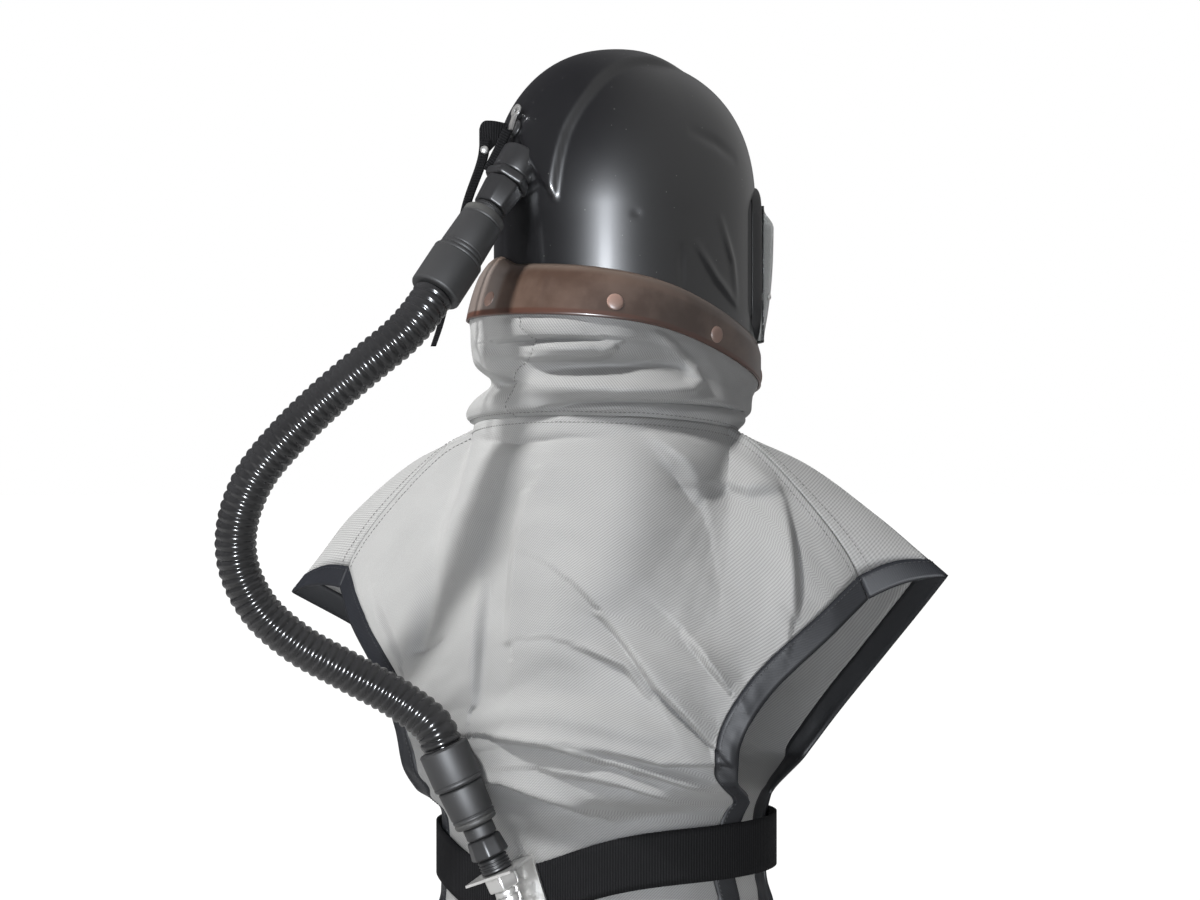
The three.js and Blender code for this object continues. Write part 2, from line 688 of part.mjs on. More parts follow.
function bandMeshes() {
  const rows = 3;
  const firstRow = Math.log(UNDER_BAND.from) / Math.log(1 / rows);
  const surface = (u, v) => bandPoint(u * 2 * Math.PI, v ** firstRow, 0);
  const band = wall(surface, SHELL.around, rows, BAND.wall, true);
  const meshes = [named('rim_band', band, FINISH.brownRubber)];
  for (let k = 0; k < STUD.count; k += 1) {
    const angle = THREE.MathUtils.degToRad(STUD.first + k * STUD.step);
    const centre = bandPoint(angle, STUD.down, 0);
    const across = bandPoint(angle + 0.02, STUD.down, 0).sub(bandPoint(angle - 0.02, STUD.down, 0));
    const up = bandPoint(angle, STUD.down - 0.1, 0).sub(bandPoint(angle, STUD.down + 0.1, 0));
    const out = across.cross(up).normalize();
    const head = turnedHead(STUD.radius, STUD.height, 8);
    const stud = aim(named(`band_stud_${k + 1}`, head, FINISH.brownRubber), out);
    stud.position.copy(centre).addScaledVector(out, BAND.wall / 2 + STUD.lift);
    meshes.push(stud);
  }
  return meshes;
}

// Round couplings in a row along one axis.
function stackMeshes(stack, start, axis) {
  return stack.map(({ name, from, to, radius, endRadius, sides }) => {
    const material = /sleeve|cuff/.test(name) ? FINISH.blackRubber : FINISH.blackPlastic;
    const geometry = turnedRing(from, to, radius, endRadius, BORE, sides);
    const mesh = aim(named(name, geometry, material), axis);
    mesh.position.copy(start);
    return mesh;
  });
}

// A flat strap along a route. Its width lies along one direction, and a share of it is before the route.
function strapWall(route, widthways, width, before, steps) {
  const curve = new THREE.CatmullRomCurve3(route.map(vector));
  const surface = (u, v) => {
    const reach = (u - before) * mix(width.start, width.end, v);
    return curve.getPoint(v).addScaledVector(widthways, reach);
  };
  return wall(surface, 1, steps, STRAP.wall, false);
}

// The place on the duct's back at a part of the dome's drop, and the way out there.
function ductBack(x, down) {
  const angle = Math.PI - x / SHELL.halfLength;
  const step = 0.02;
  const lower = ductPoint(angle, down + step, 0).sub(ductPoint(angle, down - step, 0));
  const left = ductPoint(angle - step, down, 0).sub(ductPoint(angle + step, down, 0));
  return { point: ductPoint(angle, down, 0), out: left.cross(lower).normalize() };
}

// Strap beside the inlet: a disc on the shell, a clip, a tab, a rivet and a hanging tail.
function strapMeshes() {
  const { point, out } = ductBack(STRAP_DISC.x, STRAP_DISC.down);
  const disc = turnedHead(STRAP_DISC.radius, STRAP_DISC.height, 14);
  const seat = aim(new THREE.Group(), out);
  seat.position.copy(point).addScaledVector(out, STRAP_DISC.lift);
  seat.add(named('strap_disc', disc, FINISH.blackPlastic));
  const { halfWidth, wall: thick, below, above } = STRAP_CLIP;
  const foot = STRAP_DISC.height + GAP;
  const plate = block(-halfWidth, halfWidth, -above, below, foot, foot + thick);
  seat.add(named('strap_clip', outward(plate), FINISH.steel));
  const along = vector(TAB_ROUTE[TAB_ROUTE.length - 1]).sub(vector(TAB_ROUTE[0])).setZ(0).normalize();
  const tab = strapWall(TAB_ROUTE, UP, TAB_WIDTH, 1, 4);
  const tail = strapWall(TAIL_ROUTE, along, TAIL_WIDTH, 0.5, STRAP.tailSteps);
  const facing = new THREE.Vector3(-along.y, along.x, 0);
  const head = turnedHead(STRAP_RIVET.radius, STRAP_RIVET.height, 12);
  const rivet = aim(named('strap_rivet', head, FINISH.steel), facing);
  const route = new THREE.CatmullRomCurve3(TAIL_ROUTE.map(vector));
  rivet.position.copy(route.getPoint(STRAP_RIVET.fromTop));
  rivet.position.addScaledVector(facing, STRAP.wall / 2 + 2 * GAP);
  return [
    seat,
    named('strap_tab', tab, FINISH.webbing),
    named('strap_tail', tail, FINISH.webbing),
    rivet,
  ];
}

function helmetGroup() {
  const group = new THREE.Group();
  group.rotation.z = HEAD_TURN;
  group.add(shellMesh(), ...visorMeshes(), ...bandMeshes());
  group.add(...stackMeshes(INLET_STACK, inletPoint(0), inletAxis()));
  group.add(...strapMeshes());
  return group;
}

// Hood: from the rim, under the band, to the neck seam. Angles are from the chest, left positive.
function neckSeamZ(forward) {
  return mix(NECK_SEAM.back, NECK_SEAM.front, (1 + forward) / 2);
}

function neckSeamPoint(angle) {
  const x = NECK_AXIS.x + NECK_SEAM.halfWidth * Math.sin(angle);
  const y = NECK_AXIS.y - NECK_SEAM.halfDepth * Math.cos(angle);
  return new THREE.Vector3(x, y, neckSeamZ(Math.cos(angle)));
}

function hoodTopPoint(angle, down) {
  const local = angle - HEAD_TURN;
  const slant = Math.hypot(1, bandFlare(local) / BAND.height);
  const inward = (BAND.wall / 2 + CLOTH / 2 + 2 * GAP) * slant;
  return bandPoint(local, down, inward).applyAxisAngle(UP, HEAD_TURN);
}

function hoodPoint(u, v) {
  const angle = u * 2 * Math.PI;
  if (v <= UNDER_BAND.share) {
    return hoodTopPoint(angle, mix(UNDER_BAND.from, 1, v / UNDER_BAND.share));
  }
  const along = (v - UNDER_BAND.share) / (1 - UNDER_BAND.share);
  const point = hoodTopPoint(angle, 1).lerp(neckSeamPoint(angle), along);
  const out = new THREE.Vector3(Math.sin(angle), -Math.cos(angle), 0);
  const room = smooth(along / 0.12) * smooth((1 - along) / 0.12);
  const { degree, drop } = HOOD_FOLD_SCALE;
  const place = new THREE.Vector2(THREE.MathUtils.radToDeg(angle) * degree, along * drop);
  for (const { angle0, along0, angle1, along1, height, width } of HOOD_FOLDS) {
    const start = new THREE.Vector2(angle0 * degree, along0 * drop);
    const end = new THREE.Vector2(angle1 * degree, along1 * drop);
    point.addScaledVector(out, room * height * foldShape(place, start, end, width));
  }
  return point;
}

// Belt: height of its middle round the waist, and its plan.
function beltZ(angle) {
  const degrees = THREE.MathUtils.radToDeg(angle);
  const away = ((degrees - BELT_DIP.angle + 540) % 360) - 180;
  return BELT.z - BELT.rise * Math.sin(angle) - BELT_DIP.depth * bell(away / BELT_DIP.spread);
}

function beltPoint(u, v) {
  const angle = u * 2 * Math.PI;
  const x = NECK_AXIS.x + BELT.halfWidth * Math.sin(angle);
  const y = NECK_AXIS.y - BELT.halfDepth * Math.cos(angle);
  return new THREE.Vector3(x, y, beltZ(angle) + BELT.height * (0.5 - v));
}

// Cape panels. across runs from -1 at the right edge to 1 at the left one.
// The seam line: the neck's curve, then the shoulder seam.
function seamLine(side, across) {
  const reach = Math.abs(across);
  const sign = Math.sign(across);
  const [first] = SHOULDER_SEAM;
  if (reach <= PANEL.neckShare) {
    const turn = (reach / PANEL.neckShare) * Math.acos((side * first.y) / NECK_SEAM.halfDepth);
    const y = side * NECK_SEAM.halfDepth * Math.cos(turn);
    const z = neckSeamZ(-y / NECK_SEAM.halfDepth);
    return new THREE.Vector3(sign * NECK_SEAM.halfWidth * Math.sin(turn), y, z);
  }
  const last = SHOULDER_SEAM[SHOULDER_SEAM.length - 1];
  const x = mix(first.x, last.x, (reach - PANEL.neckShare) / (1 - PANEL.neckShare));
  const y = through(SHOULDER_SEAM, 'x', 'y', x);
  return new THREE.Vector3(sign * x, y, through(SHOULDER_SEAM, 'x', 'z', x));
}

// The crest line of the front panel: round the neck, then along the shoulder.
function crestLine(across) {
  const reach = Math.abs(across);
  const sign = Math.sign(across);
  const [first] = SHOULDER_CREST;
  if (reach <= PANEL.neckShare) {
    const turn = (reach / PANEL.neckShare) * Math.acos(-first.y / NECK_CREST.halfDepth);
    const c = Math.cos(turn);
    const x = sign * NECK_CREST.halfWidth * Math.sin(turn);
    return new THREE.Vector3(x, -NECK_CREST.halfDepth * c, mix(NECK_CREST.side, NECK_CREST.front, c));
  }
  const last = SHOULDER_CREST[SHOULDER_CREST.length - 1];
  const x = mix(first.x, last.x, (reach - PANEL.neckShare) / (1 - PANEL.neckShare));
  const z = through(SHOULDER_CREST, 'x', sign > 0 ? 'left' : 'right', x);
  return new THREE.Vector3(sign * x, through(SHOULDER_CREST, 'x', 'y', x), z);
}

function rowPoint(rows, across, down) {
  const reach = Math.abs(across);
  const value = (column) => through(rows, 'down', column, down);
  const part = mix(1 - (1 - reach) ** PANEL.spreadPower, reach, PANEL.evenShare);
  const y = mix(value('midY'), value('edgeY'), part ** PANEL.depthPower);
  const z = mix(value('midZ'), value('edgeZ'), part ** PANEL.dropPower);
  return new THREE.Vector3(value('edgeX') * part * Math.sign(across), y, z);
}

// How far the top line lies from the first row, evened out more and more further down.
function topLift(panel, across, down) {
  const lift = new THREE.Vector3();
  const window = PANEL.topBlur * down * (1 - Math.abs(across));
  const samples = [-0.5, -0.25, 0, 0.25, 0.5];
  for (const sample of samples) {
    const place = Math.min(1, Math.max(-1, across + sample * window));
    const top = panel.crestShare > 0 ? crestLine(place) : seamLine(panel.side, place);
    lift.add(top.sub(rowPoint(panel.rows, place, 0)));
  }
  return lift.divideScalar(samples.length);
}

function panelBase(panel, across, down) {
  const { crestShare, rows, side } = panel;
  if (down < crestShare) {
    const t = down / crestShare;
    const point = seamLine(side, across).lerp(crestLine(across), t);
    const shoulder = smooth((Math.abs(across) - PANEL.neckShare) / (1 - PANEL.neckShare));
    point.z += CREST_BULGE * shoulder * Math.sin(Math.PI * t);
    return point;
  }
  const below = (down - crestShare) / (1 - crestShare);
  const fade = clamp01(1 - below / PANEL.topReach) ** 2;
  return rowPoint(rows, across, below).addScaledVector(topLift(panel, across, below), fade);
}

// How firmly the belt holds a point, and the depth that the cloth has under it.
function cinch(point) {
  const angle = Math.atan2(point.x / BELT.halfWidth, -point.y / BELT.halfDepth);
  const away = Math.abs(point.z - beltZ(angle));
  const hold = 1 - smooth((away - CINCH.flat) / CINCH.fade);
  const inset = BELT.wall / 2 + CLOTH / 2 + CINCH.gap;
  const halfWidth = BELT.halfWidth - inset;
  const x = Math.min(Math.abs(point.x), CINCH.widest * halfWidth);
  const depth = (BELT.halfDepth - inset) * Math.sqrt(1 - (x / halfWidth) ** 2);
  return { hold, depth: Math.sign(point.y) * depth };
}

// The way out of the body at a point of a panel.
function panelOut(panel, across, down) {
  const step = 0.01;
  const left = panelBase(panel, Math.min(1, across + step), down);
  const right = panelBase(panel, Math.max(-1, across - step), down);
  const lower = panelBase(panel, across, Math.min(1, down + step));
  const upper = panelBase(panel, across, Math.max(0, down - step));
  const out = left.sub(right).cross(lower.sub(upper)).normalize();
  return out.y * panel.side < 0 ? out.negate() : out;
}

function panelPoint(panel, across, down) {
  const point = panelBase(panel, across, down);
  const { hold, depth } = cinch(point);
  const out = panelOut(panel, across, down);
  const size = PANEL.foldScale;
  const place = new THREE.Vector2(across * size.across, down * size.down);
  let push = 0;
  for (const { across0, down0, across1, down1, height, width } of panel.folds) {
    const start = new THREE.Vector2(across0 * size.across, down0 * size.down);
    const end = new THREE.Vector2(across1 * size.across, down1 * size.down);
    push += height * foldShape(place, start, end, width);
  }
  const room = smooth((down - panel.crestShare) / 0.08) * smooth((1 - Math.abs(across)) / 0.12);
  point.addScaledVector(out, push * room);
  point.y = mix(point.y, depth, hold);
  return point.add(new THREE.Vector3(NECK_AXIS.x, NECK_AXIS.y, 0));
}

// The part of the half width at which a given width is left up to the panel's edge.
function shareLeft(panel, sign, down, width) {
  const edge = panelPoint(panel, sign, down);
  let near = 0.3;
  let far = 1;
  for (let k = 0; k < 14; k += 1) {
    const middle = (near + far) / 2;
    if (panelPoint(panel, sign * middle, down).distanceTo(edge) > width) near = middle;
    else far = middle;
  }
  return far;
}

// Where a panel's cloth starts below its sewn line, as a part of the panel.
function seamStart(panel, across) {
  const shoulder = smooth((Math.abs(across) - PANEL.neckShare + 0.1) / 0.1);
  const step = 0.02;
  const length = panelPoint(panel, across, step).distanceTo(panelPoint(panel, across, 0)) / step;
  return mix(SEAM_GAP.neck, SEAM_GAP.shoulder, shoulder) / length;
}

function panelMeshes(panel) {
  const cloth = (u, v) => {
    const sign = u < 0.5 ? -1 : 1;
    const across = shareLeft(panel, sign, v, BINDING.width + BINDING.gap) * (u * 2 - 1);
    return panelPoint(panel, across, mix(seamStart(panel, across), 1, v));
  };
  const sheet = wall(cloth, PANEL.columns, panel.down, CLOTH, false);
  const meshes = [named(`cape_${panel.label}`, sheet, FINISH.cloth)];
  for (const { hand, sign } of HANDS) {
    const strip = (u, v) => {
      const across = sign * mix(shareLeft(panel, sign, v, BINDING.width), 1, u);
      return panelPoint(panel, across, mix(seamStart(panel, across), 1, v));
    };
    const geometry = wall(strip, 1, panel.down, BINDING.wall, false);
    meshes.push(named(`binding_${panel.label}_${hand}`, geometry, FINISH.binding));
  }
  return meshes;
}

// Outlet: its axis, the belt's outward direction beside it, and the bracket between them.
function outletAxis() {
  return vector(OUTLET.lean).normalize();
}

function outletGroup() {
  const foot = vector(OUTLET.foot);
  const axis = outletAxis();
  const side = (foot.x - NECK_AXIS.x) / BELT.halfWidth;
  const behind = (foot.y - NECK_AXIS.y) / BELT.halfDepth;
  const beside = Math.atan2(side, -behind);
  const onBelt = beltPoint(beside / (2 * Math.PI), 0.5);
  const out = new THREE.Vector3(side / BELT.halfWidth, behind / BELT.halfDepth, 0).normalize();
  const across = out.clone().cross(axis).normalize();
  const backward = axis.clone().cross(across);
  const group = new THREE.Group();
  group.position.copy(foot);
  group.setRotationFromMatrix(new THREE.Matrix4().makeBasis(across, backward, axis));
  const tilt = Math.asin(axis.dot(out));
  const toBelt = foot.clone().sub(onBelt).dot(out) - BELT.wall / 2 - BRACKET.beltGap;
  const half = BRACKET.width / 2;
  const plateTop = toBelt * Math.tan(tilt);
  const upright = block(-half, half, -toBelt, -toBelt + BRACKET.plate, -BRACKET.drop, plateTop);
  const plate = solid(upright.rotateX(tilt));
  const flange = solid(block(-half, half, -toBelt / Math.cos(tilt), BRACKET.flangeEnd, -BRACKET.plate, 0));
  const hole = new THREE.CylinderGeometry(BORE, BORE, 20, 20).rotateX(Math.PI / 2);
  group.add(named('belt_bracket', geometryOf(plate.add(flange).subtract(solid(hole))), FINISH.steel));
  const below = -BRACKET.plate - GAP;
  const hexFoot = below - NIPPLE.hexHeight;
  const hex = turnedRing(hexFoot, below, NIPPLE.hexRadius, NIPPLE.hexRadius, NIPPLE.bore, 6);
  group.add(named('supply_hex', hex, FINISH.steel));
  const top = hexFoot - GAP;
  const tube = turnedRing(top - NIPPLE.height, top, NIPPLE.radius, NIPPLE.radius, NIPPLE.bore, 16);
  group.add(named('supply_nipple', tube, FINISH.steel));
  group.add(...stackMeshes(OUTLET_STACK, new THREE.Vector3(), UP));
  return group;
}

// Hose: a plain tube from the upper cuff to the lower one.
function hoseMesh() {
  const upperEnd = INLET_STACK[INLET_STACK.length - 1].to + GAP;
  const lowerEnd = OUTLET_STACK[OUTLET_STACK.length - 1].to + GAP;
  const upper = (along) => inletPoint(along).applyAxisAngle(UP, HEAD_TURN);
  const lower = (along) => vector(OUTLET.foot).addScaledVector(outletAxis(), along);
  const points = [
    upper(upperEnd),
    upper(upperEnd + HOSE.radius),
    ...HOSE_ROUTE.map(vector),
    lower(lowerEnd + HOSE.radius),
    lower(lowerEnd),
  ];
  const path = new THREE.CatmullRomCurve3(points, false, 'centripetal');
  const section = new THREE.Shape();
  for (let k = 0; k < HOSE.sides; k += 1) {
    const turn = (k / HOSE.sides) * 2 * Math.PI;
    const x = HOSE.radius * Math.cos(turn);
    const y = HOSE.radius * Math.sin(turn);
    if (k === 0) section.moveTo(x, y);
    else section.lineTo(x, y);
  }
  const options = { steps: HOSE.steps, extrudePath: path, bevelEnabled: false };
  return named('air_hose', outward(new THREE.ExtrudeGeometry(section, options)), FINISH.blackRubber);
}

const helmet = new THREE.Group();
helmet.add(helmetGroup());
helmet.add(named('neck_hood', wall(hoodPoint, SHELL.around, 10, CLOTH, true), FINISH.cloth));
for (const panel of PANELS) helmet.add(...panelMeshes(panel));
helmet.add(named('belt', wall(beltPoint, BELT.columns, 1, BELT.wall, true), FINISH.webbing));
helmet.add(outletGroup());
helmet.add(hoseMesh());

export default helmet;
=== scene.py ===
# %% [markdown]
# A supplied-air helmet, as worn: a glossy shell with a visor, a rubber clamp band round its rim, a cloth
# hood and cape, a belt, and a breathing hose from the back of the shell down to a bracket on the belt.
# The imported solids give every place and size. The cells below dress them, piece by piece.

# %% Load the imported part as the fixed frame
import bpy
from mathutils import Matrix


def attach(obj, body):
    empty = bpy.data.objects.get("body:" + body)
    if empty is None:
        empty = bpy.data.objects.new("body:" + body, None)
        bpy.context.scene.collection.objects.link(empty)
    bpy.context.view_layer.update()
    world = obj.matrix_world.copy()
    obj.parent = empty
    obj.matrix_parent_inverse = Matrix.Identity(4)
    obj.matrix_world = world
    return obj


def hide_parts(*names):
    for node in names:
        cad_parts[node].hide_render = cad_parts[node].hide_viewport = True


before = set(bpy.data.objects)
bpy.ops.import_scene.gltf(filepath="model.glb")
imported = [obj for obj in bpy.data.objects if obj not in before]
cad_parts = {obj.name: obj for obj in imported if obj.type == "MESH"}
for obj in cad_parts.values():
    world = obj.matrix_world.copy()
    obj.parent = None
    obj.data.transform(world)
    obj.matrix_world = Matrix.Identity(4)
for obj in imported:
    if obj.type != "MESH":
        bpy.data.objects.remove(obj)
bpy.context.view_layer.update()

from types import SimpleNamespace as Sizes

import bmesh
import bpy
import numpy as np
from mathutils import Vector, noise

MM = 0.001
print("CAD nodes:", len(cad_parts))

# %% [markdown]
# The camera comes first. It looks level at the wearer's back,
# a little from their right, from far enough away that the picture is almost flat.

# %% Camera
VIEW_AZIMUTH = np.radians(200)
VIEW_DISTANCE = 2.3
VIEW_CENTRE = Vector((0.0200, 0.0073, -0.2583))
LENS_MM = 71.07
SENSOR_MM = 36


def direction(azimuth, elevation):
    """The unit vector towards a place round the object; azimuth 0 is in front of the wearer."""
    level = np.cos(elevation)
    return Vector((np.sin(azimuth) * level, -np.cos(azimuth) * level, np.sin(elevation)))


away = direction(VIEW_AZIMUTH, 0)
camera = bpy.data.objects.new("camera", bpy.data.cameras.new("camera"))
camera.data.lens = LENS_MM
camera.data.sensor_width = SENSOR_MM
camera.location = VIEW_CENTRE + away * VIEW_DISTANCE
camera.rotation_mode = "QUATERNION"
camera.rotation_quaternion = (-away).to_track_quat("-Z", "Y")
bpy.context.scene.collection.objects.link(camera)
bpy.context.scene.camera = camera
print("camera at", [round(c, 4) for c in camera.location])

# %% [markdown]
# A few small functions that many cells use.

# %% Small functions
def mix(a, b, t):
    return a + (b - a) * t


def smooth(t):
    s = np.clip(t, 0, 1)
    return s * s * (3 - 2 * s)


def bell(t):
    return np.exp(-np.square(t))


def unit(v):
    """Each vector brought to length 1."""
    return np.asarray(v, float) / np.linalg.norm(v, axis=-1, keepdims=True)


def stacked(x, y, z):
    """Points from separate coordinates, each a number or a grid."""
    return np.stack(np.broadcast_arrays(x, y, z), axis=-1)


def full_turn(count):
    """Angles all the way round, in even steps."""
    return np.linspace(0, 2 * np.pi, count, endpoint=False)


# %% [markdown]
# Small helpers for nodes. A node's inputs are given by name; a value is set on the socket, and another
# node's output is linked to it.

# %% Node helpers
def add(tree, kind, settings=None, **inputs):
    node = tree.nodes.new(kind)
    for key, value in (settings or {}).items():
        setattr(node, key, value)
    for key, value in inputs.items():
        feed(tree, node.inputs[key.replace("_", " ")], value)
    return node


def feed(tree, socket, value):
    if isinstance(value, bpy.types.NodeSocket):
        tree.links.new(value, socket)
    else:
        socket.default_value = value


def calc(tree, operation, *values):
    node = tree.nodes.new("ShaderNodeMath")
    node.operation = operation
    for socket, value in zip(node.inputs, values):
        feed(tree, socket, value)
    return node.outputs[0]


def blend_colors(tree, factor, a, b):
    node = tree.nodes.new("ShaderNodeMix")
    node.data_type = "RGBA"
    feed(tree, node.inputs["Factor"], factor)
    feed(tree, node.inputs[6], a)
    feed(tree, node.inputs[7], b)
    return node.outputs[2]


def fade(tree, value, start, end):
    """A soft step from 0 at the start to 1 at the end; the end may be the lower one."""
    step = add(tree, "ShaderNodeMapRange", {"interpolation_type": "SMOOTHSTEP"}, Value=value)
    low, high = sorted((start, end))
    ends = {"From Min": low, "From Max": high, "To Min": float(start > end), "To Max": float(start < end)}
    for label, number in ends.items():
        feed(tree, step.inputs[label], number)
    return step.outputs[0]


# %% [markdown]
# The same for whole materials, and for groups of nodes that several materials share.

# %% Material helpers
def new_material(name, **inputs):
    material = bpy.data.materials.new(name)
    material.use_nodes = True
    tree = material.node_tree
    shader = tree.nodes["Principled BSDF"]
    for key, value in inputs.items():
        shader.inputs[key.replace("_", " ")].default_value = value
    return material, tree, shader


def new_group(name, inputs, outputs):
    tree = bpy.data.node_groups.new(name, "ShaderNodeTree")
    for label, kind, value in inputs:
        socket = tree.interface.new_socket(label, in_out="INPUT", socket_type=kind)
        if value is not None:
            socket.default_value = value
    for label, kind in outputs:
        tree.interface.new_socket(label, in_out="OUTPUT", socket_type=kind)
    return tree, tree.nodes.new("NodeGroupInput"), tree.nodes.new("NodeGroupOutput")


def place_group(tree, group, **inputs):
    node = tree.nodes.new("ShaderNodeGroup")
    node.node_tree = group
    for key, value in inputs.items():
        feed(tree, node.inputs[key.replace("_", " ")], value)
    return node


# %% [markdown]
# The sky. The real one stood in a white studio. The camera sees a plain white sky, and cloth gets a weak
# even light from it. Gloss mirrors a darker one that grows brighter to the right, as a lit wall would.

# %% Sky
SKY_SEEN = (1.0, 1.0, 1.0, 1)
SKY_LIGHT = (0.15, 0.15, 0.155, 1)
SKY_MIRRORED = (0.06, 0.06, 0.064, 1)
SKY_MIRRORED_RIGHT = (0.55, 0.55, 0.55, 1)
SKY_RIGHT = Sizes(azimuth=np.radians(290), elevation=np.radians(18), dark_at=-0.1, bright_at=0.95)

bpy.context.scene.view_settings.view_transform = "Standard"

world = bpy.data.worlds.new("studio")
bpy.context.scene.world = world
world.use_nodes = True
sky = world.node_tree
ray = add(sky, "ShaderNodeLightPath")
looking = add(sky, "ShaderNodeTexCoord").outputs["Generated"]
nearness = add(sky, "ShaderNodeVectorMath", {"operation": "DOT_PRODUCT"})
feed(sky, nearness.inputs[0], looking)
feed(sky, nearness.inputs[1], direction(SKY_RIGHT.azimuth, SKY_RIGHT.elevation))
rightward = fade(sky, nearness.outputs["Value"], SKY_RIGHT.dark_at, SKY_RIGHT.bright_at)
mirrored_sky = blend_colors(sky, rightward, SKY_MIRRORED, SKY_MIRRORED_RIGHT)
colour = blend_colors(sky, ray.outputs["Is Glossy Ray"], SKY_LIGHT, mirrored_sky)
colour = blend_colors(sky, ray.outputs["Is Transmission Ray"], colour, SKY_SEEN)
colour = blend_colors(sky, ray.outputs["Is Camera Ray"], colour, SKY_SEEN)
sky.links.new(colour, sky.nodes["Background"].inputs["Color"])
print("sky nodes:", len(sky.nodes))

# %% [markdown]
# The floor is one wide disc, far below the hem. The camera sees it glow white like the sky, with a trace of
# its own shading left, so that the picture has no horizon.

# %% Floor
FLOOR = Sizes(z=-1.05, radius=40, sides=64, glow=1.12, glow_share=0.93)

floor_mesh = bpy.data.meshes.new("floor")
ring = [(FLOOR.radius * np.cos(t), FLOOR.radius * np.sin(t), FLOOR.z) for t in full_turn(FLOOR.sides)]
floor_mesh.from_pydata(ring, [], [list(range(len(ring)))])
floor = bpy.data.objects.new("floor", floor_mesh)
bpy.context.scene.collection.objects.link(floor)
pale, tree, shader = new_material("pale floor", Base_Color=(0.5, 0.5, 0.5, 1), Roughness=0.9)
glow = add(tree, "ShaderNodeEmission", Color=SKY_SEEN, Strength=FLOOR.glow)
seen = add(tree, "ShaderNodeLightPath")
mixed = add(tree, "ShaderNodeMixShader")
feed(tree, mixed.inputs[0], calc(tree, "MULTIPLY", seen.outputs["Is Camera Ray"], FLOOR.glow_share))
feed(tree, mixed.inputs[1], shader.outputs[0])
feed(tree, mixed.inputs[2], glow.outputs[0])
tree.links.new(mixed.outputs[0], tree.nodes["Material Output"].inputs["Surface"])
floor_mesh.materials.append(pale)
print("floor at", FLOOR.z, "m")

# %% [markdown]
# Lamps. A small one above and a large one at the left bring out the folds of the cloth. A weak one beside the
# camera and a soft one in front lift the shadows. Gloss mirrors none of these: it mirrors only the two strips
# behind the camera, which draw the bright line down the back of the shell and light nothing else.

# %% Lamps
LAMPS = [
    # name, azimuth, elevation, distance, width, height, watts, mirrored in gloss, lights the cloth
    ("key lamp above", 150, 49, 3.0, 0.32, 0.32, 108, False, True),
    ("large lamp on the left", 120, 20, 3.0, 1.6, 1.6, 46, False, True),
    ("fill beside the camera", 214, 4, 3.2, 1.6, 1.2, 6, False, True),
    ("soft lamp in front", 20, 30, 3.2, 2.0, 2.0, 46, False, True),
    ("bright strip behind the camera", 199, -4.5, 3.2, 0.12, 0.55, 250, True, False),
    ("soft strip behind the camera", 199, 0, 3.3, 0.6, 0.9, 22, True, False),
]
STRIP_TINT = (0.9, 0.94, 1.0)

for name, azimuth, elevation, distance, width, height, watts, mirrored, lights in LAMPS:
    toward = direction(np.radians(azimuth), np.radians(elevation))
    lamp = bpy.data.lights.new(name, "AREA")
    lamp.shape = "RECTANGLE"
    lamp.size, lamp.size_y, lamp.energy = width, height, watts
    holder = bpy.data.objects.new(name, lamp)
    holder.location = VIEW_CENTRE + toward * distance
    holder.rotation_euler = toward.to_track_quat("Z", "Y").to_euler()
    if mirrored:
        lamp.color = STRIP_TINT
    holder.visible_glossy = mirrored
    holder.visible_diffuse = lights
    bpy.context.scene.collection.objects.link(holder)
print("lamps:", len(LAMPS))

# %% [markdown]
# Meshes. Most pieces here are grids: rows of points that a formula gives. One helper turns such a grid
# into a mesh, closes it where it goes round, and writes a UV map in metres, so that a weave keeps its
# true scale.

# %% Mesh helpers
def grid_faces(down, across, closed_down, closed_across):
    rows = down if closed_down else down - 1
    columns = across if closed_across else across - 1
    j, i = np.meshgrid(np.arange(rows), np.arange(columns), indexing="ij")
    corners = ((j, i), (j + 1, i), (j + 1, i + 1), (j, i + 1))
    return np.stack([((jj % down) * across + ii % across).ravel() for jj, ii in corners], axis=1)


def mesh_object(name, points_mm, faces, material, rounded=True):
    mesh = bpy.data.meshes.new(name)
    mesh.from_pydata((np.asarray(points_mm, float).reshape(-1, 3) * MM).tolist(), [], faces)
    mesh.materials.append(material)
    if rounded:
        mesh.shade_smooth()
    else:
        mesh.shade_flat()
    piece = bpy.data.objects.new(name, mesh)
    bpy.context.scene.collection.objects.link(piece)
    return piece


def wrapped(grid, axis):
    """The grid with its first row or column once more at its end."""
    return np.concatenate([grid, np.take(grid, [0], axis=axis)], axis=axis)


def lengths_along(points, axis):
    """The way gone along a line, or along the rows or columns of a grid, from 0 at the start."""
    steps = np.linalg.norm(np.diff(points, axis=axis), axis=-1)
    start = np.zeros_like(np.take(steps, [0], axis=axis))
    return np.concatenate([start, np.cumsum(steps, axis=axis)], axis=axis)


